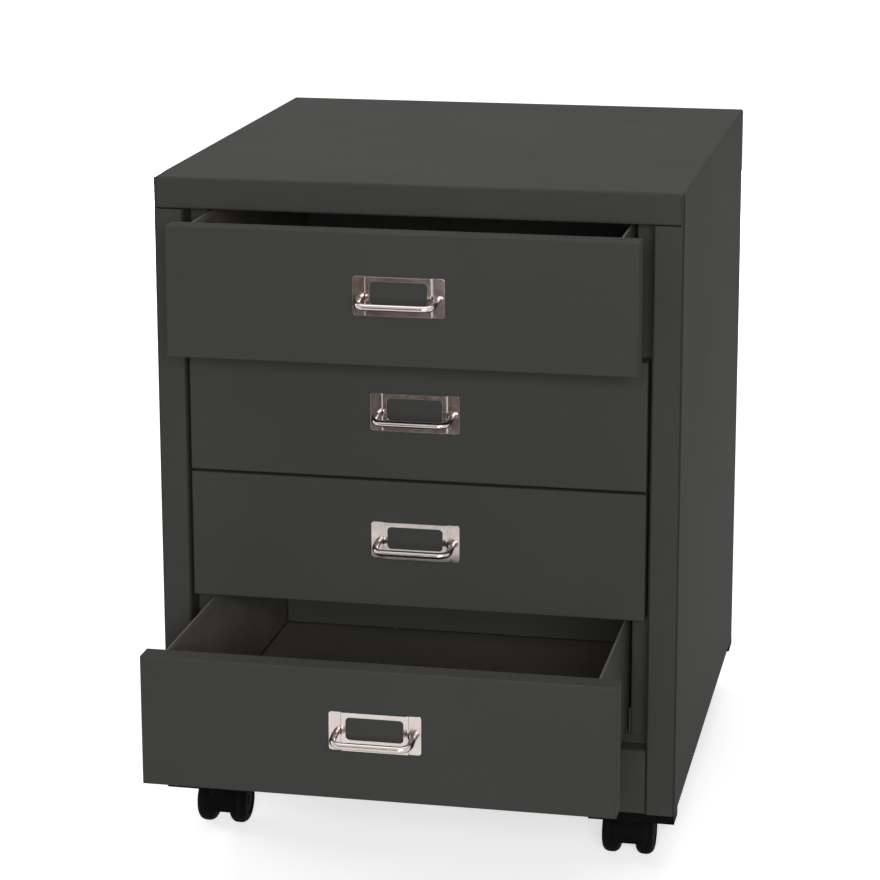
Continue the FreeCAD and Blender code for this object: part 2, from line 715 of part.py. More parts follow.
def screw_body(x, y, plain):
    """Countersunk screw, driven up through a castor plate into the base sheet."""
    low = vec(x, y, PLATE_UNDER)
    shank = rod(SCREW / 2, low, low.add(vec(0, 0, SCREW_LENGTH)))
    head = Part.makeCone(SCREW_HEAD / 2, SCREW / 2, SCREW_HEAD_DEPTH, low, vec(0, 0, 1))
    screw = joined([shank, head])
    if plain:
        return screw
    length = SCREW_HEAD / 2
    slots = [slab(x - length / 2, x + length / 2, y - SCREW_SLOT / 2, y + SCREW_SLOT / 2,
                  PLATE_UNDER - OVERRUN, PLATE_UNDER + SCREW_SLOT_DEPTH),
             slab(x - SCREW_SLOT / 2, x + SCREW_SLOT / 2, y - length / 2, y + length / 2,
                  PLATE_UNDER - OVERRUN, PLATE_UNDER + SCREW_SLOT_DEPTH)]
    return screw.cut(slots)


def castor_screws():
    return Part.makeCompound([screw_body(x, y, False)
                              for corner in CORNERS for x, y in screw_places(corner)])


def castor_pin():
    """Steel swivel pin, fixed in the hood and kept up by its head in the socket."""
    high = SOCKET_TOP - SWIVEL_GAP
    head = rod(PIN_HEAD, on_pin(high - PIN_HEAD_THICK), on_pin(high))
    return joined([rod(PIN / 2, on_pin(PIN_BOTTOM), on_pin(high)), head])


def castor_hood():
    """Web between the wheels, with a shell over their front and a neck round the pin."""
    half = HOOD_WIDTH / 2
    tread = WHEEL / 2 + WHEEL_TREAD_GAP
    shell = tread + HOOD_SHELL
    drum = rod(shell, on_axle(-half), on_axle(half))
    keep = slab(PIN_SIDE - half, PIN_SIDE + half, AXLE_LINE - shell, AXLE_LINE + HOOD_REAR_REACH,
                HOOD_BOTTOM, HOOD_TOP)
    neck = rod(HOOD_NECK / 2, on_pin(HOOD_TOP - HOOD_NECK_HEIGHT), on_pin(HOOD_TOP))
    hood = joined([drum.common(keep), neck])
    wheel_rooms = [rod(tread, on_axle(way * HOOD_WEB / 2), on_axle(way * HOOD_WIDTH)) for way in (-1, 1)]
    pin_room = rod(PIN / 2, on_pin(PIN_BOTTOM), on_pin(HOOD_TOP + OVERRUN))
    return hood.cut(wheel_rooms + [pin_room, axle_bar(half)])


def axle_bar(reach):
    return rod(AXLE / 2, on_axle(-reach), on_axle(reach))


def castor_axle():
    return axle_bar(WHEEL_OUTER - WHEEL_CAP - AXLE_END_GAP)


def castor_wheel():
    """Right-hand wheel of a castor, turned about its axle with round shoulders and a dished face."""
    blank = rod(WHEEL / 2, on_axle(WHEEL_INNER), on_axle(WHEEL_OUTER))
    rims = [edge for edge in blank.Edges if edge.Closed]
    blank = blank.makeFillet(WHEEL_SHOULDER, rims)
    hub_room = rod(AXLE / 2 + WHEEL_RUNNING, on_axle(WHEEL_INNER - OVERRUN),
                   on_axle(WHEEL_OUTER - WHEEL_CAP))
    dish = Part.makeCone(WHEEL_DISH_RADIUS - WHEEL_DISH, WHEEL_DISH_RADIUS, WHEEL_DISH_DEEP,
                         on_axle(WHEEL_OUTER - WHEEL_DISH_DEEP), vec(1, 0, 0))
    return blank.cut([hub_room, dish])


def inner_wheel():
    """The castor's other wheel, on the far side of its web."""
    return castor_wheel().mirror(on_pin(0), vec(1, 0, 0))


# Every piece under its own name

def body_pieces():
    right_side = side_panel()
    right_front = front_post()
    right_rear = rear_post()
    pieces = {
        "top_panel": top_panel(),
        "left_side_panel": mirrored(right_side),
        "right_side_panel": right_side,
        "back_panel": back_panel(),
        "base_panel": base_panel(),
        "left_front_post": mirrored(right_front),
        "right_front_post": right_front,
        "left_rear_post": mirrored(right_rear),
        "right_rear_post": right_rear,
        "body_rivets": Part.makeCompound(back_rivets() + runner_rivets()),
    }
    glides = []
    for number in range(1, DRAWER_COUNT + 1):
        right_runner = runner(number)
        pieces["drawer_%d_runners" % number] = Part.makeCompound([right_runner, mirrored(right_runner)])
        glides += [glide(number), mirrored(glide(number))]
    pieces["runner_glides"] = Part.makeCompound(glides)
    return pieces


def drawer_pieces():
    pieces = {}
    for number in range(1, DRAWER_COUNT + 1):
        name = "drawer_%d_" % number
        pieces[name + "front"] = drawer_front(number)
        pieces[name + "tray"] = tray(number)
        pieces[name + "back"] = drawer_back(number)
        pieces[name + "label_holder"] = label_holder(number)
        pieces[name + "pull"] = pull(number)
    return pieces


def castor_pieces():
    pieces = {"castor_screws": castor_screws()}
    plate = castor_plate()
    parts = {"pin": castor_pin(), "hood": castor_hood(), "axle": castor_axle()}
    wheels = {"left": inner_wheel(), "right": castor_wheel()}
    for corner in CORNERS:
        name = "castor_%s_" % corner
        pieces[name + "plate"] = castor_copy(plate, corner)
        for part_name, shape in parts.items():
            pieces[name + part_name] = castor_copy(shape, corner)
        for hand, shape in wheels.items():
            other = {"left": "right", "right": "left"}[hand] if corner.endswith("left") else hand
            pieces[name + other + "_wheel"] = castor_copy(shape, corner)
    return pieces


def all_pieces():
    pieces = body_pieces()
    pieces.update(drawer_pieces())
    pieces.update(castor_pieces())
    return pieces


os.makedirs("parts", exist_ok=True)
PIECES = all_pieces()
for node, shape in PIECES.items():
    shape.exportStep("parts/%s.step" % node)
print(len(PIECES), "nodes")
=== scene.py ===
"""Sheet-steel drawer cabinet on castors: finishes, fittings and studio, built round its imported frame."""
import math

import bmesh
import bpy
from mathutils import Matrix, Vector


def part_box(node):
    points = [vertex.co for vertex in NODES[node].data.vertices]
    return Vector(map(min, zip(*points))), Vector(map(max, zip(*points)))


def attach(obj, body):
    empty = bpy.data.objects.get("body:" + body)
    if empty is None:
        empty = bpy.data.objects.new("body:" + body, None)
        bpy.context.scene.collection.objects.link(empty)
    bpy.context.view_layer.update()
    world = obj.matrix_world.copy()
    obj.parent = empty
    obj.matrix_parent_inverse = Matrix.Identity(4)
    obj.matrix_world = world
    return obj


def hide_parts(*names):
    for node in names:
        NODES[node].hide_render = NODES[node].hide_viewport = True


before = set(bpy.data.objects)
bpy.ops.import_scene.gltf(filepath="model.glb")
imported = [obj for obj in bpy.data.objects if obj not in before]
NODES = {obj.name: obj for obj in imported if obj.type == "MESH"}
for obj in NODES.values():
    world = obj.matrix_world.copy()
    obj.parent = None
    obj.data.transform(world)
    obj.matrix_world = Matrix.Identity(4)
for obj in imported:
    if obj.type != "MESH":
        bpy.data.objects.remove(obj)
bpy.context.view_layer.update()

bl_info = {
    "name": "Steel Drawer Cabinet",
    "version": (1, 0, 0),
    "blender": (4, 5, 0),
    "location": "3D View > Sidebar > Cabinet",
    "description": "Dresses a four-drawer sheet-steel cabinet and sets up its studio",
    "category": "Object",
}

MM = 0.001
QUARTER = math.pi / 2
NEAR = MM / 100
WELD = MM / 1000
FRAME_WELD = MM / 200
FLAT = math.radians(0.5)
SMOOTH = math.radians(32)
EDGE_STEPS = 2
DRAWERS = (1, 2, 3, 4)
CORNERS = ("front_left", "front_right", "rear_left", "rear_right")


def linear(red, green, blue):
    """A display colour, in steps of 255, as the light it stands for."""
    def channel(step):
        share = step / 255
        return share / 12.92 if share <= 0.04045 else ((share + 0.055) / 1.055) ** 2.4
    return channel(red), channel(green), channel(blue)


# Sizes and colours that a user would change

class PaintSettings(bpy.types.PropertyGroup):
    """Powder coat on the body, the drawers and the rivets."""
    colour: bpy.props.FloatVectorProperty(
        name="Paint", description="Colour of the powder coat", subtype="COLOR", size=3,
        default=linear(55, 55, 53))
    edge_colour: bpy.props.FloatVectorProperty(
        name="Edges", description="Colour where the coat thins over an edge", subtype="COLOR", size=3,
        default=linear(78, 78, 75))
    # Painted light: the trays' insides take this lighter colour, standing for the light that reaches into an
    # open tray
    inside_lit_colour: bpy.props.FloatVectorProperty(
        name="Tray inside", description="Colour of the thin coat inside the trays", subtype="COLOR", size=3,
        default=linear(110, 106, 100))
    roughness: bpy.props.FloatProperty(
        name="Roughness", description="Roughness of the coat", subtype="FACTOR", min=0, max=1, default=0.78)
    grain: bpy.props.FloatProperty(
        name="Grain", description="Width of one grain of the coat", unit="LENGTH", default=0.9 * MM)
    grain_depth: bpy.props.FloatProperty(
        name="Grain depth", description="Height of the coat's grain", unit="LENGTH", default=0.012 * MM)
    fold: bpy.props.FloatProperty(
        name="Cut edge", description="Radius over which a cut edge looks rounded", unit="LENGTH",
        default=0.35 * MM)


class FittingSettings(bpy.types.PropertyGroup):
    """Nickel-plated label plates and pulls."""
    colour: bpy.props.FloatVectorProperty(
        name="Nickel", description="Colour of the plating", subtype="COLOR", size=3,
        default=(0.53, 0.475, 0.455))
    roughness: bpy.props.FloatProperty(
        name="Roughness", description="Roughness of the plating", subtype="FACTOR", min=0, max=1,
        default=0.13)
    sheet: bpy.props.FloatProperty(
        name="Sheet", description="Thickness of the label plate", unit="LENGTH", default=0.8 * MM)
    step: bpy.props.FloatProperty(
        name="Step", description="How far the middle of the label plate stands forward", unit="LENGTH",
        default=1.2 * MM)
    rod: bpy.props.FloatProperty(
        name="Rod", description="Diameter of the pull", unit="LENGTH", default=5.0 * MM)


class CastorSettings(bpy.types.PropertyGroup):
    """Moulded twin-wheel castors."""
    cover_colour: bpy.props.FloatVectorProperty(
        name="Cover", description="Colour of the cover and the plate", subtype="COLOR", size=3,
        default=(0.0028, 0.0028, 0.0031))
    wheel_colour: bpy.props.FloatVectorProperty(
        name="Wheel", description="Colour of the wheels", subtype="COLOR", size=3,
        default=(0.0032, 0.0032, 0.0033))
    roughness: bpy.props.FloatProperty(
        name="Roughness", description="Roughness of the moulded nylon", subtype="FACTOR", min=0, max=1,
        default=0.6)


class StageSettings(bpy.types.PropertyGroup):
    """Floor, lamps and camera."""
    floor_colour: bpy.props.FloatVectorProperty(
        name="Floor", description="Colour of the floor", subtype="COLOR", size=3, default=(0.82, 0.82, 0.82))
    floor_size: bpy.props.FloatProperty(
        name="Floor size", description="Side of the floor", unit="LENGTH", default=24.0)
    floor_bounce: bpy.props.FloatProperty(
        name="Floor bounce", description="Share of the floor's light that it throws back on the cabinet",
        subtype="FACTOR", min=0, max=1, default=0.28)
    lens: bpy.props.FloatProperty(
        name="Lens", description="Focal length on a 36 mm sensor, in millimetres", default=116.57)
    heading: bpy.props.FloatProperty(
        name="Heading", description="Turn of the camera to the left of straight back", subtype="ANGLE",
        default=math.radians(11.52))
    pitch: bpy.props.FloatProperty(
        name="Pitch", description="Angle by which the camera looks down", subtype="ANGLE",
        default=math.radians(13.17))
    roll: bpy.props.FloatProperty(
        name="Roll", description="Lean of the camera", subtype="ANGLE", default=math.radians(-0.11))
    eye: bpy.props.FloatVectorProperty(
        name="Camera", description="Place of the camera from the foot of the front's middle",
        subtype="TRANSLATION", unit="LENGTH", size=3, default=(0.4313, -2.0220, 0.8816))


# Hand tools for the modelling

def clear_bench():
    """Object mode, with nothing selected."""
    if bpy.context.mode != "OBJECT":
        bpy.ops.object.mode_set(mode="OBJECT")
    bpy.ops.object.select_all(action="DESELECT")


def take(piece):
    """Selects one piece and makes it active."""
    clear_bench()
    piece.select_set(True)
    bpy.context.view_layer.objects.active = piece


def start_edit(piece):
    take(piece)
    bpy.ops.object.mode_set(mode="EDIT")
    bpy.ops.mesh.select_all(action="SELECT")


def end_edit():
    bpy.ops.object.mode_set(mode="OBJECT")


def name_new(name):
    """Names the primitive that was just added and settles its place into its mesh."""
    piece = bpy.context.object
    piece.name = name
    piece.data.name = name
    settle(piece)
    return piece


def settle(piece):
    take(piece)
    bpy.ops.object.transform_apply(location=True, rotation=True, scale=True)


def pick(piece, kind, test):
    """In edit mode, selects only the vertices, edges or faces that pass a test."""
    bpy.ops.mesh.select_mode(type=kind)
    bpy.ops.mesh.select_all(action="DESELECT")
    shape = bmesh.from_edit_mesh(piece.data)
    elements = {"VERT": shape.verts, "EDGE": shape.edges, "FACE": shape.faces}[kind]
    for element in elements:
        if test(element):
            element.select_set(True)
    bmesh.update_edit_mesh(piece.data)


def extrude(shift):
    bpy.ops.mesh.extrude_region_move(TRANSFORM_OT_translate={"value": shift})


def resize(factors, about):
    bpy.ops.transform.resize(value=factors, center_override=about)


def face_out(piece):
    """Merges doubles and turns every face outwards."""
    start_edit(piece)
    bpy.ops.mesh.remove_doubles(threshold=WELD)
    bpy.ops.mesh.normals_make_consistent(inside=False)
    end_edit()


def face_front(piece):
    """Turns every face of an open sheet to the front."""
    start_edit(piece)
    bpy.ops.mesh.normals_make_consistent(inside=False)
    shape = bmesh.from_edit_mesh(piece.data)
    lean = sum(face.normal.y * face.calc_area() for face in shape.faces)
    if lean > 0:
        bpy.ops.mesh.flip_normals()
    end_edit()


def give(piece, kind, **settings):
    """Adds a modifier with these settings and applies it."""
    take(piece)
    modifier = piece.modifiers.new(kind.title(), kind)
    for key, value in settings.items():
        setattr(modifier, key, value)
    bpy.ops.object.modifier_apply(modifier=modifier.name)


def copy_of(piece, name, shift):
    """A copy with its own mesh, moved by a shift."""
    take(piece)
    bpy.ops.object.duplicate(linked=False)
    bpy.context.object.location = shift
    return name_new(name)


def mirrored_copy(piece, name, middle):
    """A copy on the other side of a plane across X, its faces turned out again."""
    take(piece)
    bpy.ops.object.duplicate(linked=False)
    other = bpy.context.object
    other.scale = (-1, 1, 1)
    other.location = (2 * middle, 0, 0)
    other = name_new(name)
    face_out(other)
    return other


def solid_copy(node, name):
    """A merged copy of a part of the frame, its flat faces whole."""
    clear_bench()
    source = NODES[node]
    piece = bpy.data.objects.new(name, source.data.copy())
    piece.data.name = name
    bpy.context.scene.collection.objects.link(piece)
    start_edit(piece)
    bpy.ops.mesh.remove_doubles(threshold=FRAME_WELD)
    bpy.ops.mesh.dissolve_limited(angle_limit=FLAT)
    end_edit()
    return piece


def finish_piece(piece, body, node, material):
    """Smooths a piece, paints it and puts it on its body. It takes the place of a node, if one is given."""
    require(len(piece.data.polygons) > 0, piece.name + " has no faces")
    take(piece)
    bpy.ops.object.shade_smooth_by_angle(angle=SMOOTH)
    give(piece, "WEIGHTED_NORMAL", keep_sharp=True)
    paint(piece, material)
    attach(piece, body)
    if node:
        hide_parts(node)


def require(met, message):
    """Stops the operator, and so the script, where something it needs isn't there."""
    if not met:
        raise RuntimeError(message)


def opaque(colour, share=1.0):
    """A colour, or a share of it, as a socket takes it."""
    return [channel * share for channel in colour] + [1]


def paint(piece, material):
    piece.data.materials.clear()
    piece.data.materials.append(material)


def turned(name, centre, profile, sides):
    """A solid turned about the line along X through its centre.

    The profile runs from one end to the other, as pairs of reach along X and radius.
    """
    clear_bench()
    reach, radius = profile[0]
    bpy.ops.mesh.primitive_circle_add(
        vertices=sides, radius=radius, fill_type="NGON",
        location=(centre.x + reach, centre.y, centre.z), rotation=(0, QUARTER, 0))
    piece = name_new(name)
    start_edit(piece)
    for next_reach, next_radius in profile[1:]:
        extrude((next_reach - reach, 0, 0))
        grow = next_radius / radius
        resize((1, grow, grow), (centre.x + next_reach, centre.y, centre.z))
        reach = next_reach
        radius = next_radius
    end_edit()
    face_out(piece)
    return piece


def arc_profile(centre_reach, centre_radius, radius, start, end, steps):
    """Points of a profile on an arc, from one angle to another, an angle of zero pointing along X."""
    points = []
    for step in range(steps + 1):
        angle = start + (end - start) * step / steps
        points.append((centre_reach + radius * math.cos(angle), centre_radius + radius * math.sin(angle)))
    return points


# Node boards

class Board:
    """A node tree that is being laid out."""

    def __init__(self, tree):
        self.tree = tree

    def add(self, kind, inputs=None, **settings):
        """Adds a node with its inputs and its settings."""
        node = self.tree.nodes.new(kind)
        for key, value in settings.items():
            setattr(node, key, value)
        self.feed(node, inputs or {})
        return node

    def feed(self, node, inputs):
        """Gives a node its inputs, each a value or the socket that it comes from."""
        for key, value in inputs.items():
            if isinstance(value, bpy.types.NodeSocket):
                self.tree.links.new(value, node.inputs[key])
            else:
                node.inputs[key].default_value = value

    def math(self, operation, first, second=0.0, clamp=False):
        node = self.add("ShaderNodeMath", {0: first, 1: second}, operation=operation, use_clamp=clamp)
        return node.outputs[0]

    def times(self, first, second):
        return self.math("MULTIPLY", first, second)

    def plus(self, first, second, clamp=False):
        return self.math("ADD", first, second, clamp)

    def steps(self, value, low, high, low_out=0.0, high_out=1.0):
        """A value's share of the way from low to high, eased and clamped."""
        node = self.add("ShaderNodeMapRange", {"Value": value, "From Min": low, "From Max": high,
                                               "To Min": low_out, "To Max": high_out},
                        interpolation_type="SMOOTHSTEP")
        return node.outputs["Result"]

    def mix(self, factor, first, second):
        """One colour laid over another by a share."""
        return self.add("ShaderNodeMix", {0: factor, 6: first, 7: second}, data_type="RGBA").outputs[2]

    def noise(self, scale, detail=2.0, roughness=0.5, vector=None):
        """Noise on the piece's own coordinates, with its scale in waves to the metre."""
        place = vector or self.place()
        node = self.add("ShaderNodeTexNoise", {"Vector": place, "Scale": scale, "Detail": detail,
                                               "Roughness": roughness})
        return node.outputs["Fac"]

    def place(self):
        """The piece's own coordinates."""
        return self.add("ShaderNodeTexCoord").outputs["Object"]

    def facing(self):
        """The way that a face looks, as three shares along the piece's own axes."""
        normal = self.add("ShaderNodeTexCoord").outputs["Normal"]
        return self.add("ShaderNodeSeparateXYZ", {"Vector": normal}).outputs

    def bump(self, height, normal=None):
        """The normal of a height in metres, laid over another normal."""
        inputs = {"Strength": 1.0, "Distance": 1.0, "Height": height}
        if normal is not None:
            inputs["Normal"] = normal
        return self.add("ShaderNodeBump", inputs).outputs["Normal"]

    def effect(self, group, **inputs):
        """Places a shared effect. Its inputs are given by their names in small letters."""
        node = self.add("ShaderNodeGroup", node_tree=group)
        self.feed(node, {key.capitalize(): value for key, value in inputs.items()})
        return node


def new_effect(name, inputs, outputs):
    """A node group with named inputs and outputs, its board, what it is given and its output node."""
    group = bpy.data.node_groups.new(name, "ShaderNodeTree")
    for label, default in inputs.items():
        socket = group.interface.new_socket(name=label, in_out="INPUT", socket_type="NodeSocketFloat")
        socket.default_value = default
    for label, kind in outputs.items():
        group.interface.new_socket(name=label, in_out="OUTPUT", socket_type=kind)
    board = Board(group)
    given = board.add("NodeGroupInput").outputs
    return group, board, given, board.add("NodeGroupOutput")


FLOAT_SOCKET = "NodeSocketFloat"
VECTOR_SOCKET = "NodeSocketVector"
BROAD_SHARE = 0.8


def grain_effect():
    """Fine grain of a powder coat or a moulding: a height in metres, and a share that varies with it."""
    group, board, given, result = new_effect(
        "Fine grain", {"Grain": 1.0 * MM, "Depth": 0.01 * MM},
        {"Height": FLOAT_SOCKET, "Mottle": FLOAT_SOCKET})
    waves = board.math("DIVIDE", 1.0, given["Grain"])
    fine = board.noise(waves, detail=3.0, roughness=0.55)
    broad = board.noise(board.times(waves, 0.22), detail=2.0)
    both = board.plus(fine, board.times(broad, BROAD_SHARE))
    board.feed(result, {"Height": board.times(both, given["Depth"]),
                        "Mottle": board.times(both, 1 / (1 + BROAD_SHARE))})
    return group


def edge_effect():
    """Worn edges: a mask where faces meet, and the normal of the same edges rounded."""
    group, board, given, result = new_effect(
        "Edge wear", {"Radius": 0.4 * MM, "Patchiness": 0.5},
        {"Mask": FLOAT_SOCKET, "Rounded": VECTOR_SOCKET})
    rounded = board.add("ShaderNodeBevel", {"Radius": given["Radius"]}, samples=4).outputs["Normal"]
    flat = board.add("ShaderNodeNewGeometry").outputs["Normal"]
    dot = board.add("ShaderNodeVectorMath", {0: rounded, 1: flat}, operation="DOT_PRODUCT").outputs["Value"]
    edge = board.steps(board.math("SUBTRACT", 1.0, dot), 0.01, 0.22)
    patches = board.steps(board.noise(70.0, detail=4.0, roughness=0.6), 0.35, 0.65)
    kept = board.math("SUBTRACT", 1.0, board.times(given["Patchiness"], patches))
    board.feed(result, {"Mask": board.times(edge, kept), "Rounded": rounded})
    return group


def dust_effect():
    """A thin film of dust: thickest on faces that look up, in soft clouds."""
    group, board, given, result = new_effect("Dust film", {"Amount": 0.3}, {"Mask": FLOAT_SOCKET})
    lying = board.steps(board.facing()["Z"], 0.3, 1.0, 0.25, 1.0)
    clouds = board.steps(board.noise(9.0, detail=5.0, roughness=0.62), 0.30, 0.75)
    specks = board.steps(board.noise(900.0, detail=2.0), 0.60, 0.72)
    film = board.plus(board.times(clouds, 0.7), board.times(specks, 0.3))
    board.feed(result, {"Mask": board.times(board.times(film, lying), given["Amount"])})
    return group


def smudge_effect():
    """Slow changes of gloss, as handling and wiping leave them."""
    group, board, given, result = new_effect("Smudges", {"Waves": 12.0, "Swing": 0.05},
                                             {"Shift": FLOAT_SOCKET})
    cloud = board.noise(given["Waves"], detail=4.0, roughness=0.6)
    centred = board.math("SUBTRACT", cloud, 0.5)
    board.feed(result, {"Shift": board.times(centred, given["Swing"])})
    return group


def new_material(name):
    """A material, its board and its shader."""
    material = bpy.data.materials.new(name)
    material.use_nodes = True
    board = Board(material.node_tree)
    return material, board, material.node_tree.nodes["Principled BSDF"]


DUST = (0.24, 0.23, 0.215, 1)
# Near black of the painted shade on the body's upright front folds
FOLD_PAINTED_SHADE = (0.004, 0.004, 0.004, 1)
# Darker colour laid in specks towards the pulls' feet
FOOT_DARK = (0.085, 0.060, 0.045, 1)
TARNISH_SHARES = (0.80, 0.74, 0.68)
DARK_SPANGLE = (0.050, 0.050, 0.049, 1)
PALE_SPANGLE = (0.085, 0.085, 0.080, 1)
RUBBED_STEEL = (0.20, 0.20, 0.19, 1)
BRIGHT_ZINC = (0.50, 0.50, 0.47, 1)
DULL_ZINC = (0.37, 0.37, 0.36, 1)
RUBBED_ZINC = (0.72, 0.71, 0.68, 1)
CLEAN_NYLON = (0.62, 0.60, 0.53, 1)
WORN_NYLON = (0.45, 0.43, 0.38, 1)
CASTOR_DUST = (0.20, 0.19, 0.18, 1)
TREAD_DUST = (0.010, 0.0098, 0.0094, 1)
TREAD_EDGE = (0.014, 0.014, 0.014, 1)
# Painted shade: near-black beads in the joints of a tray stand for the shade in the gaps there
SEAM_SHADE = (0.0025, 0.0024, 0.0022, 1)
SEAM_SHADE_PALE = (0.012, 0.011, 0.010, 1)
COAT_SHEEN = 0.10
NYLON_SHEEN = 0.02


class Finishes:
    """Every finish of the cabinet, made once and kept under a plain name."""

    def __init__(self, scene):
        self.paint = scene.cabinet_paint
        self.fitting = scene.cabinet_fittings
        self.castor = scene.cabinet_castors
        self.grain = grain_effect()
        self.edges = edge_effect()
        self.dust = dust_effect()
        self.smudges = smudge_effect()
        self.body_coat = self.coat("Cabinet coat", 1.0, 0.10)
        # The top and side panels carry painted shade on their upright front folds
        self.outer_coat = self.coat("Outer coat with painted fold shade", 1.0, 0.10, painted_shade=0.45)
        # Painted light: the trays' coat is a lighter copy of the body's paint, and lighter still inside
        self.tray_coat = self.coat("Tray coat with painted light", 1.45, 0.14, inside=True)
        self.nickel = self.bright_nickel()
        self.passivated = self.passivated_steel()
        self.zinc = self.zinc_plate()
        self.nylon = self.natural_nylon()
        self.cover = self.castor_cover()
        self.wheel = self.castor_wheel()
        self.seam = self.dark_seam()

    def coat(self, name, share, dust, painted_shade=0.0, inside=False):
        """Dark grey powder coat with a fine grain, thin over its edges and a little dusty.

        A painted shade darkens the upright folds, where the bend would reflect the dark between the lamps, and
        a coat with an inside is painted lighter there, for the light that reaches into an open tray, with
        random stains.
        """
        material, board, shader = new_material(name)
        grain = board.effect(self.grain, grain=self.paint.grain, depth=self.paint.grain_depth)
        edges = board.effect(self.edges, radius=self.paint.fold)
        film = board.effect(self.dust, amount=dust)
        smudges = board.effect(self.smudges, waves=7.0, swing=0.10)
        colour = board.mix(grain.outputs["Mottle"], opaque(self.paint.colour, share),
                           opaque(self.paint.colour, share * 1.10))
        # Painted light on the inner faces of the tray, with random stains
        if inside:
            lit_inside = opaque(self.paint.inside_lit_colour)
            stained_lit_inside = opaque(self.paint.inside_lit_colour, 0.80)
            patches = board.steps(board.noise(16.0, detail=5.0, roughness=0.6), 0.30, 0.70)
            colour = board.mix(self.tray_inside(board), colour, board.mix(patches, lit_inside, stained_lit_inside))
        # Painted shade: the upright folds go towards near black, where the bend would reflect the dark between
        # the lamps
        if painted_shade:
            shade = board.times(self.upright_fold_shade_mask(board), painted_shade)
            colour = board.mix(shade, colour, FOLD_PAINTED_SHADE)
        else:
            colour = board.mix(board.times(edges.outputs["Mask"], 0.55), colour,
                               opaque(self.paint.edge_colour))
        colour = board.mix(film.outputs["Mask"], colour, DUST)
        gloss = board.plus(self.paint.roughness, smudges.outputs["Shift"])
        gloss = board.plus(gloss, board.times(film.outputs["Mask"], 0.8), clamp=True)
        board.feed(shader, {"Base Color": colour, "Roughness": gloss, "Specular IOR Level": COAT_SHEEN,
                            "Normal": board.bump(grain.outputs["Height"], edges.outputs["Rounded"])})
        return material

    def upright_fold_shade_mask(self, board):
        """One on an upright fold, where a face leans both to the front and to the side: the mask of the painted
        shade there.
        """
        lean = board.facing()
        both = board.math("ABSOLUTE", board.times(lean["X"], lean["Y"]))
        return board.steps(both, 0.10, 0.40)

    def tray_inside(self, board):
        """One on the inner faces of a tray's sides, and a little less on its floor: where the painted light
        inside goes.
        """
        facing = board.facing()
        place = board.add("ShaderNodeSeparateXYZ", {"Vector": board.place()})
        side = board.math("SIGN", place.outputs["X"])
        inward = board.times(board.times(facing["X"], side), -1.0)
        upward = board.times(facing["Z"], 0.76)
        return board.steps(board.math("MAXIMUM", inward, upward), 0.5, 0.9)

    def bright_nickel(self):
        """Warm nickel plating with faint polishing lines and finger marks."""
        material, board, shader = new_material("Bright nickel")
        edges = board.effect(self.edges, radius=0.45 * MM, patchiness=0.2)
        smudges = board.effect(self.smudges, waves=160.0, swing=0.16)
        stretched = board.add("ShaderNodeMapping", {"Vector": board.place(), "Scale": (60, 3000, 3000)})
        lines = board.noise(1.0, detail=3.0, vector=stretched.outputs["Vector"])
        nickel = self.fitting.colour
        tarnish = opaque([channel * share for channel, share in zip(nickel, TARNISH_SHARES)])
        patches = board.steps(board.noise(110.0, detail=4.0, roughness=0.65), 0.46, 0.78)
        colour = board.mix(board.times(patches, 0.35), opaque(nickel), tarnish)
        colour = board.mix(board.times(edges.outputs["Mask"], 0.6), colour, opaque(nickel, 1.15))
        # The plating is darker in specks towards the pulls' feet
        foot = board.add("ShaderNodeAttribute", attribute_name=FOOT).outputs["Fac"]
        specks = board.steps(board.noise(700.0, detail=4.0, roughness=0.7), 0.15, 0.50)
        darkened_feet = board.times(foot, specks)
        colour = board.mix(darkened_feet, colour, FOOT_DARK)
        gloss = board.plus(self.fitting.roughness, smudges.outputs["Shift"])
        gloss = board.plus(gloss, board.times(darkened_feet, 0.20))
        gloss = board.plus(gloss, board.times(lines, 0.04), clamp=True)
        scratches = board.times(lines, 0.0005 * MM)
        board.feed(shader, {"Base Color": colour, "Roughness": gloss, "Metallic": 1.0,
                            "Normal": board.bump(scratches, edges.outputs["Rounded"])})
        return material

    def passivated_steel(self):
        """Dark passivated sheet with the spangle of its zinc, rubbed bright on its edges."""
        material, board, shader = new_material("Passivated steel")
        edges = board.effect(self.edges, radius=0.3 * MM)
        cells = board.add("ShaderNodeTexVoronoi", {"Vector": board.place(), "Scale": 160.0})
        spangle = board.add("ShaderNodeSeparateColor", {"Color": cells.outputs["Color"]}).outputs["Red"]
        colour = board.mix(spangle, DARK_SPANGLE, PALE_SPANGLE)
        colour = board.mix(board.times(edges.outputs["Mask"], 0.4), colour, RUBBED_STEEL)
        gloss = board.steps(spangle, 0.0, 1.0, 0.44, 0.60)
        relief = board.times(spangle, 0.004 * MM)
        board.feed(shader, {"Base Color": colour, "Roughness": gloss, "Metallic": 1.0,
                            "Normal": board.bump(relief, edges.outputs["Rounded"])})
        return material

    def zinc_plate(self):
        """Zinc-plated screws, pins and axles, turned and a little dull."""
        material, board, shader = new_material("Zinc plate")
        edges = board.effect(self.edges, radius=0.2 * MM)
        smudges = board.effect(self.smudges, waves=320.0, swing=0.2)
        patches = board.steps(board.noise(240.0, detail=3.0), 0.4, 0.7)
        colour = board.mix(patches, BRIGHT_ZINC, DULL_ZINC)
        colour = board.mix(edges.outputs["Mask"], colour, RUBBED_ZINC)
        gloss = board.plus(0.34, smudges.outputs["Shift"], clamp=True)
        board.feed(shader, {"Base Color": colour, "Roughness": gloss, "Metallic": 1.0,
                            "Normal": edges.outputs["Rounded"]})
        return material

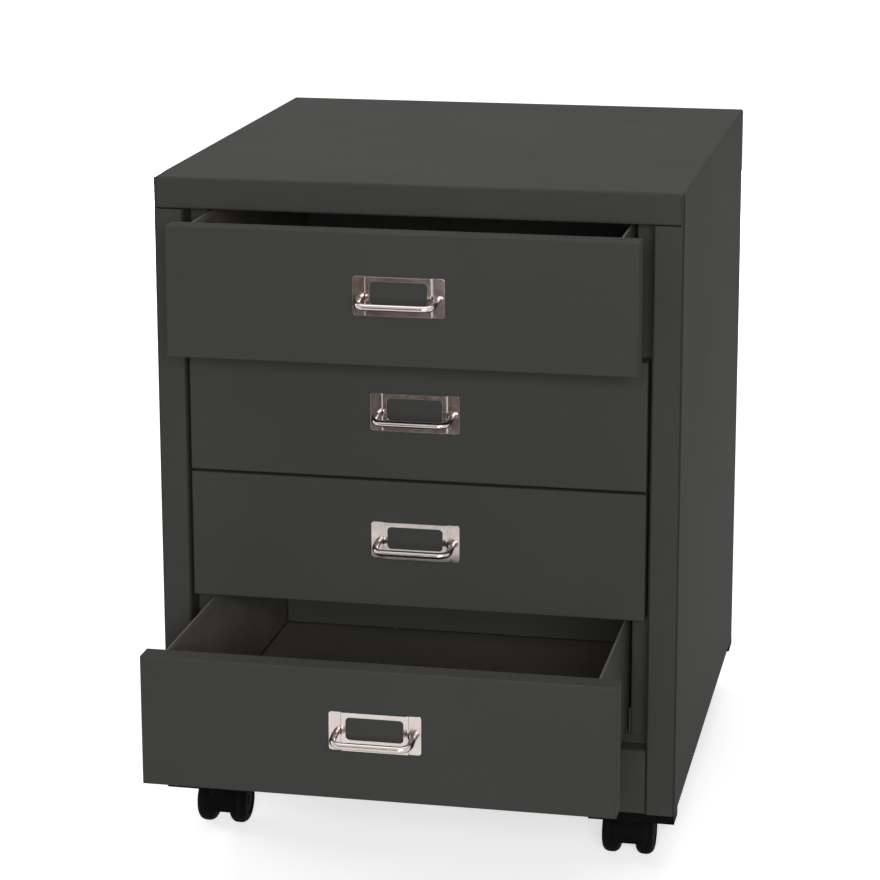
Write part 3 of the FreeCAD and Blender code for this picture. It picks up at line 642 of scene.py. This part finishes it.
    def natural_nylon(self):
        """Milky nylon strip, polished along its length by the drawers."""
        material, board, shader = new_material("Natural nylon")
        grain = board.effect(self.grain, grain=1.4 * MM, depth=0.01 * MM)
        stretched = board.add("ShaderNodeMapping", {"Vector": board.place(), "Scale": (1800, 12, 1800)})
        streaks = board.steps(board.noise(1.0, detail=2.0, vector=stretched.outputs["Vector"]), 0.4, 0.7)
        gloss = board.steps(streaks, 0.0, 1.0, 0.48, 0.30)
        board.feed(shader, {"Base Color": board.mix(streaks, CLEAN_NYLON, WORN_NYLON), "Roughness": gloss,
                            "Normal": board.bump(grain.outputs["Height"])})
        return material

    def castor_cover(self):
        """Black moulded nylon with a fine spark-eroded grain and a scuffed edge here and there."""
        material, board, shader = new_material("Castor cover")
        grain = board.effect(self.grain, grain=0.5 * MM, depth=0.02 * MM)
        edges = board.effect(self.edges, radius=0.3 * MM)
        film = board.effect(self.dust, amount=0.008)
        black = self.castor.cover_colour
        scuff = opaque([channel * 2.2 + 0.002 for channel in black])
        colour = board.mix(grain.outputs["Mottle"], opaque(black), opaque(black, 1.35))
        colour = board.mix(board.times(edges.outputs["Mask"], 0.5), colour, scuff)
        colour = board.mix(film.outputs["Mask"], colour, CASTOR_DUST)
        dusty = board.times(film.outputs["Mask"], 0.8)
        gloss = board.plus(self.castor.roughness, dusty, clamp=True)
        board.feed(shader, {"Base Color": colour, "Roughness": gloss, "Specular IOR Level": NYLON_SHEEN,
                            "Normal": board.bump(grain.outputs["Height"], edges.outputs["Rounded"])})
        return material

    def castor_wheel(self):
        """Black wheels, dull and dusty round the tread, where a wheel has run."""
        material, board, shader = new_material("Castor wheel")
        grain = board.effect(self.grain, grain=0.7 * MM, depth=0.015 * MM)
        edges = board.effect(self.edges, radius=0.3 * MM)
        scuffs = board.steps(board.noise(420.0, detail=4.0, roughness=0.7), 0.48, 0.70)
        around = board.steps(board.math("ABSOLUTE", board.facing()["X"]), 0.15, 0.6, 1.0, 0.0)
        worn = board.times(around, board.plus(board.times(scuffs, 0.5), 0.25))
        black = self.castor.wheel_colour
        colour = board.mix(grain.outputs["Mottle"], opaque(black), opaque(black, 1.4))
        colour = board.mix(worn, colour, TREAD_DUST)
        colour = board.mix(board.times(edges.outputs["Mask"], 0.4), colour, TREAD_EDGE)
        gloss = board.plus(self.castor.roughness, board.times(worn, 0.35), clamp=True)
        board.feed(shader, {"Base Color": colour, "Roughness": gloss, "Specular IOR Level": NYLON_SHEEN,
                            "Normal": board.bump(grain.outputs["Height"], edges.outputs["Rounded"])})
        return material

    def dark_seam(self):
        """Painted shade in the joints of a tray, where its floor meets its sides and back, broken in places."""
        material, board, shader = new_material("Tray seam shade")
        grain = board.effect(self.grain, grain=0.8 * MM, depth=0.05 * MM)
        # Breaks in the painted shade show the tray's inside colour
        breaks = board.steps(board.noise(85.0, detail=4.0, roughness=0.6), 0.60, 0.72)
        colour = board.mix(grain.outputs["Mottle"], SEAM_SHADE, SEAM_SHADE_PALE)
        colour = board.mix(breaks, colour, opaque(self.paint.inside_lit_colour))
        board.feed(shader, {"Base Color": colour, "Roughness": 0.8,
                            "Normal": board.bump(grain.outputs["Height"])})
        return material


FINISHES = {}


def finishes():
    """The cabinet's finishes, made on the first call."""
    if "all" not in FINISHES:
        FINISHES["all"] = Finishes(bpy.context.scene)
    return FINISHES["all"]


# Tray seams

SEAM = 1.2 * MM
BACK_GAP = 0.6 * MM
HEM_ROOM = 7.0 * MM


def bead(low, high):
    """A bar that fills the box between two corners."""
    clear_bench()
    low = Vector(low)
    high = Vector(high)
    bpy.ops.mesh.primitive_cube_add(size=1, location=(low + high) / 2)
    bpy.context.object.scale = high - low
    return name_new("bead")


def model_seams(name, tray, back):
    """Beads of painted shade along the edges of a tray's floor and up the corners at its back."""
    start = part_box(tray)[0].y
    low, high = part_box(back)
    side = high.x + BACK_GAP
    floor = low.z
    top = floor + SEAM
    near = low.y - SEAM
    beads = [bead((SEAM - side, near, floor), (side - SEAM, low.y, top))]
    for x in (-side, side - SEAM):
        beads.append(bead((x, start, floor), (x + SEAM, low.y, top)))
        beads.append(bead((x, near, top), (x + SEAM, low.y, high.z - HEM_ROOM)))
    take(beads[0])
    for other in beads[1:]:
        other.select_set(True)
    bpy.ops.object.join()
    seams = name_new(name)
    give(seams, "BEVEL", width=SEAM / 4, segments=EDGE_STEPS)
    face_out(seams)
    return seams


# Label plates and pulls

PULL_SPACING = 57.0 * MM
PULL_REACH = 21.0 * MM
PULL_DROOP = 3.0 * MM
PULL_LEG = 4.0 * MM
PULL_FOOT_BEND = 8.0 * MM
PULL_BEND = 7.5 * MM
TENON = 3.5 * MM
TENON_HEAD = 6.0 * MM
TENON_HEAD_EDGE = 0.5 * MM
TENON_HEAD_THICK = 1.0 * MM
TENON_HEAD_RIM = 0.6 * MM
PULL_SIDES = 28
PULL_FOOT_STEPS = 4
PULL_BEND_STEPS = 10
FRONT_SHEET = 0.8 * MM
FRAME_SIDE = 24.5 * MM
WINDOW_SIDE = 21.25 * MM
WINDOW_RISE = 8.5 * MM
WINDOW_HEIGHT = 17.0 * MM
WINDOW_CORNER = 3.0 * MM
PLATE_CORNER = 2.0 * MM
PLATE_EDGE = 0.22 * MM
PLATE_SHARP = math.radians(55)
CORNER_STEPS = 6
FOLD_STEPS = 3
FOLD_ROUND = 0.45
FOOT = "foot"
FOOT_REACH = 19.0 * MM


def rounded_outline(name, half_width, low, high, y, corner):
    """A flat plate that faces the front, its four corners rounded."""
    clear_bench()
    bpy.ops.mesh.primitive_plane_add(size=1, location=(0, y, (low + high) / 2), rotation=(QUARTER, 0, 0))
    bpy.context.object.scale = (2 * half_width, high - low, 1)
    piece = name_new(name)
    start_edit(piece)
    bpy.ops.mesh.bevel(offset=corner, offset_type="OFFSET", segments=CORNER_STEPS, affect="VERTICES")
    end_edit()
    return piece


def model_label_plate(name, node, fitting):
    """Pressed plate whose raised middle has a window for the label."""
    low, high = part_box(node)
    back = high.y
    plate = rounded_outline(name, high.x, low.z, high.z, back, PLATE_CORNER)
    window_low = low.z + WINDOW_RISE
    window = rounded_outline("window", WINDOW_SIDE, window_low, window_low + WINDOW_HEIGHT, back,
                             WINDOW_CORNER)
    take(plate)
    window.select_set(True)
    bpy.ops.object.join()
    start_edit(plate)
    bpy.ops.mesh.delete(type="ONLY_FACE")
    bpy.ops.mesh.select_all(action="SELECT")
    bpy.ops.mesh.bridge_edge_loops()
    slope = fitting.step / 3
    for x in (-FRAME_SIDE - slope, -FRAME_SIDE + slope, FRAME_SIDE - slope, FRAME_SIDE + slope):
        bpy.ops.mesh.select_all(action="SELECT")
        bpy.ops.mesh.bisect(plane_co=(x, back, low.z), plane_no=(1, 0, 0))
    pick(plate, "VERT", lambda vertex: abs(vertex.co.x) < FRAME_SIDE)
    bpy.ops.transform.translate(value=(0, -fitting.step, 0))
    folds = (FRAME_SIDE - slope, FRAME_SIDE + slope)
    pick(plate, "EDGE", lambda edge: any(
        all(abs(abs(vertex.co.x) - fold) < NEAR for vertex in edge.verts) for fold in folds))
    bpy.ops.mesh.bevel(offset=slope * FOLD_ROUND, segments=FOLD_STEPS, affect="EDGES")
    end_edit()
    face_front(plate)
    give(plate, "SOLIDIFY", thickness=fitting.sheet, offset=1.0, use_even_offset=True)
    give(plate, "BEVEL", width=PLATE_EDGE, segments=EDGE_STEPS, limit_method="ANGLE",
         angle_limit=PLATE_SHARP)
    face_out(plate)
    return plate


def model_pull(name, node, fitting):
    """Bent rod on two legs, drawn in at its ends to rivets through the plate."""
    low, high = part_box(node)
    radius = fitting.rod / 2
    bar_y = low.y + radius
    bar_z = low.z + radius
    leg_z = bar_z + PULL_DROOP
    foot_y = low.y + PULL_REACH - fitting.sheet
    side = -PULL_SPACING / 2
    lean = math.atan2(PULL_DROOP, foot_y - PULL_LEG - bar_y)
    foot_tangent = PULL_FOOT_BEND * math.tan(lean / 2)
    clear_bench()
    bpy.ops.mesh.primitive_circle_add(vertices=PULL_SIDES, radius=radius, fill_type="NOTHING",
                                      location=(side, foot_y, leg_z), rotation=(QUARTER, 0, 0))
    pull = name_new(name)
    start_edit(pull)
    extrude((0, -PULL_LEG + foot_tangent, 0))
    bend_y = foot_y - PULL_LEG + foot_tangent
    bpy.ops.mesh.spin(steps=PULL_FOOT_STEPS, angle=-lean, center=(side, bend_y, leg_z - PULL_FOOT_BEND),
                      axis=(1, 0, 0))
    slant = Vector((0, -math.cos(lean), -math.sin(lean)))
    full = math.hypot(PULL_DROOP, foot_y - PULL_LEG - bar_y)
    extrude(slant * (full - foot_tangent - PULL_BEND))
    corner = Vector((side, bar_y, bar_z))
    centre = corner - slant * PULL_BEND + Vector((PULL_BEND, 0, 0))
    axis = slant.cross(Vector((1, 0, 0)))
    bpy.ops.mesh.spin(steps=PULL_BEND_STEPS, angle=-QUARTER, center=centre, axis=axis)
    extrude((-side - PULL_BEND, 0, 0))
    pick(pull, "VERT", lambda vertex: abs(vertex.co.y - foot_y) < NEAR
         and abs(vertex.co.x - side) < radius * 1.01)
    back = foot_y + fitting.sheet + FRONT_SHEET
    for y, rim in ((foot_y, TENON / 2), (back, TENON / 2), (back, TENON_HEAD / 2),
                   (back + TENON_HEAD_EDGE, TENON_HEAD / 2),
                   (back + TENON_HEAD_THICK, TENON_HEAD / 2 - TENON_HEAD_RIM)):
        extrude((0, 0, 0))
        place_ring(pull, Vector((side, y, leg_z)), rim)
    bpy.ops.mesh.edge_face_add()
    end_edit()
    give(pull, "MIRROR", use_axis=(True, False, False), use_clip=True, merge_threshold=NEAR)
    face_out(pull)
    mark_feet(pull, foot_y)
    return pull


def mark_feet(pull, foot_y):
    """Notes how near each point of a pull lies to its feet, towards which the plating is darker."""
    marks = pull.data.attributes.new(FOOT, "FLOAT", "POINT")
    for vertex, mark in zip(pull.data.vertices, marks.data):
        reach = (foot_y - vertex.co.y) / FOOT_REACH
        mark.value = min(1.0, max(0.0, 1.0 - reach))


def place_ring(piece, centre, radius):
    """Moves the selected ring, which faces the front, to a centre and a radius."""
    shape = bmesh.from_edit_mesh(piece.data)
    ring = [vertex for vertex in shape.verts if vertex.select]
    middle = sum((vertex.co for vertex in ring), Vector()) / len(ring)
    reach = (ring[0].co - middle).length
    resize((radius / reach, 1, radius / reach), middle)
    bpy.ops.transform.translate(value=centre - middle)


# Castors

WHEEL_BORE = 2.05 * MM
WHEEL_CAP = 1.6 * MM
WHEEL_HUB = 3.2 * MM
WHEEL_RECESS = 0.8 * MM
WHEEL_RECESS_EDGE = 0.6 * MM
WHEEL_RIM = 0.9 * MM
WHEEL_SIDES = 64
WHEEL_ARC_STEPS = 8
SHOULDER_SHARE = 0.41
COVER_EDGE = 0.45 * MM
COVER_SHARP = math.radians(40)

# Depth of the outer face's dish below the wheel's side, in millimetres, with the reach in from its edge
DISH_EDGE = ((0.0, 0.6), (0.25, 0.9), (1.0, 1.6), (1.15, 2.6))
# The same depth over the axle's button, in millimetres, with the radius there
BUTTON = ((0.85, 4.4), (0.85, 4.0), (0.25, 3.6), (0.10, 2.6), (0.05, 1.0))


def wheel_profile(width, radius, bore):
    """Section of a wheel from its blind bore, over the tread, to its dished outer face."""
    shoulder = width * SHOULDER_SHARE
    face = radius - shoulder
    hub = bore + WHEEL_HUB
    rim = face - WHEEL_RIM
    profile = [(width - WHEEL_CAP, bore), (0, bore), (0, hub), (WHEEL_RECESS, hub + WHEEL_RECESS_EDGE),
               (WHEEL_RECESS, rim), (0, rim + WHEEL_RECESS_EDGE)]
    profile += arc_profile(shoulder, face, shoulder, math.pi, QUARTER, WHEEL_ARC_STEPS)
    profile += arc_profile(width - shoulder, face, shoulder, QUARTER, 0, WHEEL_ARC_STEPS)
    profile += [(width - depth * MM, face - reach * MM) for depth, reach in DISH_EDGE]
    profile += [(width - depth * MM, across * MM) for depth, across in BUTTON]
    return profile


def model_wheel(name, node):
    """A wheel whose outer face looks to the right."""
    low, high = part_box(node)
    centre = Vector((low.x, (low.y + high.y) / 2, (low.z + high.z) / 2))
    profile = wheel_profile(high.x - low.x, (high.z - low.z) / 2, WHEEL_BORE)
    return turned(name, centre, profile, WHEEL_SIDES)


def model_cover(name, node):
    """The castor's moulded cover, its edges rounded."""
    cover = solid_copy(node, name)
    give(cover, "BEVEL", width=COVER_EDGE, segments=EDGE_STEPS, limit_method="ANGLE",
         angle_limit=COVER_SHARP)
    return cover


# Operators

def for_every_drawer(first, name, node):
    """Copies a piece of drawer 1 to the others, each where its own node stands, and lists all by number."""
    pieces = {1: first}
    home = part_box(node % 1)[0]
    for number in DRAWERS[1:]:
        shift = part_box(node % number)[0] - home
        pieces[number] = copy_of(first, name % number, shift)
    return pieces


class PaintBody(bpy.types.Operator):
    """Paint the body, the drawers and the rivets with the powder coat"""
    bl_idname = "cabinet.paint_body"
    bl_label = "Paint body and drawers"

    def execute(self, context):
        done = finishes()
        for node in ("top_panel", "left_side_panel", "right_side_panel"):
            paint(NODES[node], done.outer_coat)
        for node in ("back_panel", "base_panel", "left_front_post", "right_front_post", "left_rear_post",
                     "right_rear_post", "body_rivets"):
            paint(NODES[node], done.body_coat)
        for number in DRAWERS:
            paint(NODES["drawer_%d_front" % number], done.body_coat)
            paint(NODES["drawer_%d_tray" % number], done.tray_coat)
            paint(NODES["drawer_%d_back" % number], done.tray_coat)
        return {"FINISHED"}


class FinishRunners(bpy.types.Operator):
    """Give the runners, their strips and the castors' steel their finishes"""
    bl_idname = "cabinet.finish_runners"
    bl_label = "Finish runners and small steel"

    def execute(self, context):
        done = finishes()
        for number in DRAWERS:
            paint(NODES["drawer_%d_runners" % number], done.passivated)
        paint(NODES["runner_glides"], done.nylon)
        paint(NODES["castor_screws"], done.zinc)
        for corner in CORNERS:
            paint(NODES["castor_%s_pin" % corner], done.zinc)
            paint(NODES["castor_%s_axle" % corner], done.zinc)
            paint(NODES["castor_%s_plate" % corner], done.cover)
        return {"FINISHED"}


class LaySeams(bpy.types.Operator):
    """Lay the seams of painted shade inside a tray and copy them to every drawer"""
    bl_idname = "cabinet.lay_seams"
    bl_label = "Lay tray seams"

    def execute(self, context):
        seams = model_seams("drawer_1_seams", "drawer_1_tray", "drawer_1_back")
        for number, piece in for_every_drawer(seams, "drawer_%d_seams", "drawer_%d_back").items():
            finish_piece(piece, "drawer_%d" % number, None, finishes().seam)
        return {"FINISHED"}


class MakeLabelPlates(bpy.types.Operator):
    """Model the label plate and copy it to every drawer"""
    bl_idname = "cabinet.make_label_plates"
    bl_label = "Make label plates"

    def execute(self, context):
        node = "drawer_%d_label_holder"
        plate = model_label_plate("drawer_1_label_plate", node % 1, context.scene.cabinet_fittings)
        for number, piece in for_every_drawer(plate, "drawer_%d_label_plate", node).items():
            finish_piece(piece, "drawer_%d" % number, node % number, finishes().nickel)
        return {"FINISHED"}


class MakePulls(bpy.types.Operator):
    """Bend the pull and copy it to every drawer"""
    bl_idname = "cabinet.make_pulls"
    bl_label = "Make pulls"

    def execute(self, context):
        node = "drawer_%d_pull"
        pull = model_pull("drawer_1_pull_bar", node % 1, context.scene.cabinet_fittings)
        for number, piece in for_every_drawer(pull, "drawer_%d_pull_bar", node).items():
            finish_piece(piece, "drawer_%d" % number, node % number, finishes().nickel)
        return {"FINISHED"}


class MakeCastors(bpy.types.Operator):
    """Turn the castors' wheels and round their covers"""
    bl_idname = "cabinet.make_castors"
    bl_label = "Make castors"

    def execute(self, context):
        done = finishes()
        first = "castor_front_right_right_wheel"
        model = model_wheel("wheel_model", first)
        mirror_model = mirrored_copy(model, "wheel_mirror_model", 0)
        low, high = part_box(first)
        home = {"right": low, "left": Vector((-high.x, low.y, low.z))}
        for corner in CORNERS:
            for hand, source in (("right", model), ("left", mirror_model)):
                # A wheel's body is named as its node is
                wheel = "castor_%s_%s_wheel" % (corner, hand)
                piece = copy_of(source, "castor_%s_%s_roller" % (corner, hand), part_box(wheel)[0] - home[hand])
                finish_piece(piece, wheel, wheel, done.wheel)
            node = "castor_%s_hood" % corner
            cover = model_cover("castor_%s_cover" % corner, node)
            finish_piece(cover, "castor_%s" % corner, node, done.cover)
        for spare in (model, mirror_model):
            bpy.data.objects.remove(spare)
        return {"FINISHED"}


class SetStage(bpy.types.Operator):
    """Lay the floor, hang the lamps and place the camera"""
    bl_idname = "cabinet.set_stage"
    bl_label = "Set stage"

    def execute(self, context):
        scene = context.scene
        scene.view_settings.view_transform = "Standard"
        stage = scene.cabinet_stage
        lay_floor(stage)
        for card in DARK_CARDS:
            set_dark_card(*card)
        hang_lamps()
        light_world(scene)
        place_camera(scene, stage)
        require(scene.camera is not None, "the stage has no camera")
        return {"FINISHED"}


# Stage

SEEN_RAYS = ("Is Camera Ray", "Is Glossy Ray", "Is Transmission Ray")
AIM = Vector((0.0, 0.0, 0.26))
WHITE = (1, 1, 1, 1)
CARD_LIGHT = (0.10, 0.07, 0.06, 1)
LIFT_NEAR = 0.58
LIFT_FAR = 1.0
LIFT_START = 1.0
LIFT_END = 4.0
WORLD_FILL = 0.20
SENSOR = 36.0
CAMERA_SHIFT = -0.1
STAGE_CUTS = 3


def seen_directly(board):
    """One where a surface is looked at, straight on or in a reflection, and zero where it only lights."""
    path = board.add("ShaderNodeLightPath").outputs
    seen = path[SEEN_RAYS[0]]
    for name in SEEN_RAYS[1:]:
        seen = board.math("MAXIMUM", seen, path[name])
    return seen


def stage_material(name):
    """A material with no shader yet, its board and its output node."""
    material = bpy.data.materials.new(name)
    material.use_nodes = True
    board = Board(material.node_tree)
    material.node_tree.nodes.remove(material.node_tree.nodes["Principled BSDF"])
    return material, board, material.node_tree.nodes["Material Output"]


def lay_floor(stage):
    """A pale floor that looks white, and whiter away from the cabinet, and throws little light back."""
    clear_bench()
    bpy.ops.mesh.primitive_plane_add(size=stage.floor_size)
    floor = name_new("floor")
    start_edit(floor)
    bpy.ops.mesh.subdivide(number_cuts=STAGE_CUTS)
    end_edit()
    material, board, output = stage_material("Pale floor")
    pale = board.add("ShaderNodeBsdfDiffuse", {"Color": opaque(stage.floor_colour)})
    away = board.add("ShaderNodeVectorMath", {0: board.place()}, operation="LENGTH").outputs["Value"]
    strength = board.steps(away, LIFT_START, LIFT_END, LIFT_NEAR, LIFT_FAR)
    lift = board.add("ShaderNodeEmission", {"Color": WHITE, "Strength": strength})
    lifted = board.add("ShaderNodeAddShader", {0: pale.outputs[0], 1: lift.outputs[0]})
    bounce = board.add("ShaderNodeBsdfDiffuse", {"Color": opaque(stage.floor_colour, stage.floor_bounce)})
    mixed = board.add("ShaderNodeMixShader", {0: seen_directly(board), 1: bounce.outputs[0],
                                              2: lifted.outputs[0]})
    board.feed(output, {"Surface": mixed.outputs[0]})
    paint(floor, material)


# Lamps that look at the cabinet's middle: name, place, width and height, and power in watts
LAMPS = (
    ("overhead softbox", (0.0, 0.2, 2.6), (2.6, 2.6), 27.0),
    ("front softbox", (0.72, -3.3, 1.25), (1.6, 0.9), 82.0),
    ("low front softbox", (0.1, -2.7, 0.25), (0.8, 0.3), 9.0),
    ("left softbox", (-2.8, 0.6, 1.2), (1.6, 1.6), 30.0),
    ("rear softbox", (-0.6, 3.0, 0.26), (1.2, 0.4), 60.0),
)


def hang_lamps():
    """Soft rectangular lamps."""
    for name, place, size, power in LAMPS:
        light = bpy.data.lights.new(name, "AREA")
        light.shape = "RECTANGLE"
        light.size, light.size_y = size
        light.energy = power
        lamp = bpy.data.objects.new(name, light)
        lamp.location = place
        lamp.rotation_euler = (AIM - Vector(place)).to_track_quat("-Z", "Y").to_euler()
        bpy.context.scene.collection.objects.link(lamp)


# Cards ahead of the cabinet: name, middle, width, length and tilt from the floor
DARK_CARDS = (
    ("floor_card", (-0.3, -2.9, 0.002), 3.6, 3.7, 0.0),
    ("wall_card", (-0.3, -4.75, 0.65), 5.0, 1.3, QUARTER),
)


def set_dark_card(name, middle, width, length, tilt):
    """A dark card that shows only in the bright metal."""
    clear_bench()
    bpy.ops.mesh.primitive_plane_add(size=1, location=middle, rotation=(tilt, 0, 0))
    bpy.context.object.scale = (width, length, 1)
    card = name_new(name)
    start_edit(card)
    bpy.ops.mesh.subdivide(number_cuts=STAGE_CUTS)
    end_edit()
    material, board, output = stage_material("Dark card")
    dark = board.add("ShaderNodeEmission", {"Color": CARD_LIGHT, "Strength": 1.0})
    board.feed(output, {"Surface": dark.outputs[0]})
    paint(card, material)
    card.visible_camera = False
    card.visible_diffuse = False
    card.visible_shadow = False
    card.visible_transmission = False


def light_world(scene):
    """A world that looks white and gives a fill light."""
    world = bpy.data.worlds.new("Studio")
    world.use_nodes = True
    scene.world = world
    board = Board(world.node_tree)
    seen = board.times(seen_directly(board), 1.0 - WORLD_FILL)
    board.feed(world.node_tree.nodes["Background"],
               {"Color": WHITE, "Strength": board.plus(seen, WORLD_FILL)})


def place_camera(scene, stage):
    """The camera of the photograph, placed from the floor below the middle of the top panel's front."""
    data = bpy.data.cameras.new("camera")
    data.lens = stage.lens
    data.sensor_width = SENSOR
    data.shift_y = CAMERA_SHIFT
    camera = bpy.data.objects.new("camera", data)
    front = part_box("top_panel")[0].y
    camera.location = Vector(stage.eye) + Vector((0, front, 0))
    turn = (Matrix.Rotation(stage.heading, 3, "Z") @ Matrix.Rotation(QUARTER - stage.pitch, 3, "X")
            @ Matrix.Rotation(stage.roll, 3, "Z"))
    camera.rotation_euler = turn.to_euler()
    scene.collection.objects.link(camera)
    scene.camera = camera


# Panel and registration

OPERATORS = (PaintBody, FinishRunners, LaySeams, MakeLabelPlates, MakePulls, MakeCastors, SetStage)


class CabinetPanel(bpy.types.Panel):
    """Buttons for every piece of the cabinet"""
    bl_idname = "VIEW3D_PT_cabinet"
    bl_label = "Drawer cabinet"
    bl_space_type = "VIEW_3D"
    bl_region_type = "UI"
    bl_category = "Cabinet"

    def draw(self, context):
        for operator in OPERATORS:
            self.layout.operator(operator.bl_idname)
        for group in SETTINGS:
            box = self.layout.box()
            settings = getattr(context.scene, group)
            for name in settings.bl_rna.properties.keys():
                if name not in ("rna_type", "name"):
                    box.prop(settings, name)


SETTINGS = {
    "cabinet_paint": PaintSettings,
    "cabinet_fittings": FittingSettings,
    "cabinet_castors": CastorSettings,
    "cabinet_stage": StageSettings,
}
CLASSES = tuple(SETTINGS.values()) + OPERATORS + (CabinetPanel,)


def register():
    for item in CLASSES:
        bpy.utils.register_class(item)
    for name, kind in SETTINGS.items():
        setattr(bpy.types.Scene, name, bpy.props.PointerProperty(type=kind))


def unregister():
    for name in SETTINGS:
        delattr(bpy.types.Scene, name)
    for item in reversed(CLASSES):
        bpy.utils.unregister_class(item)


def main():
    register()
    bpy.ops.cabinet.paint_body()
    bpy.ops.cabinet.finish_runners()
    bpy.ops.cabinet.lay_seams()
    bpy.ops.cabinet.make_label_plates()
    bpy.ops.cabinet.make_pulls()
    bpy.ops.cabinet.make_castors()
    bpy.ops.cabinet.set_stage()


if __name__ == "__main__":
    main()
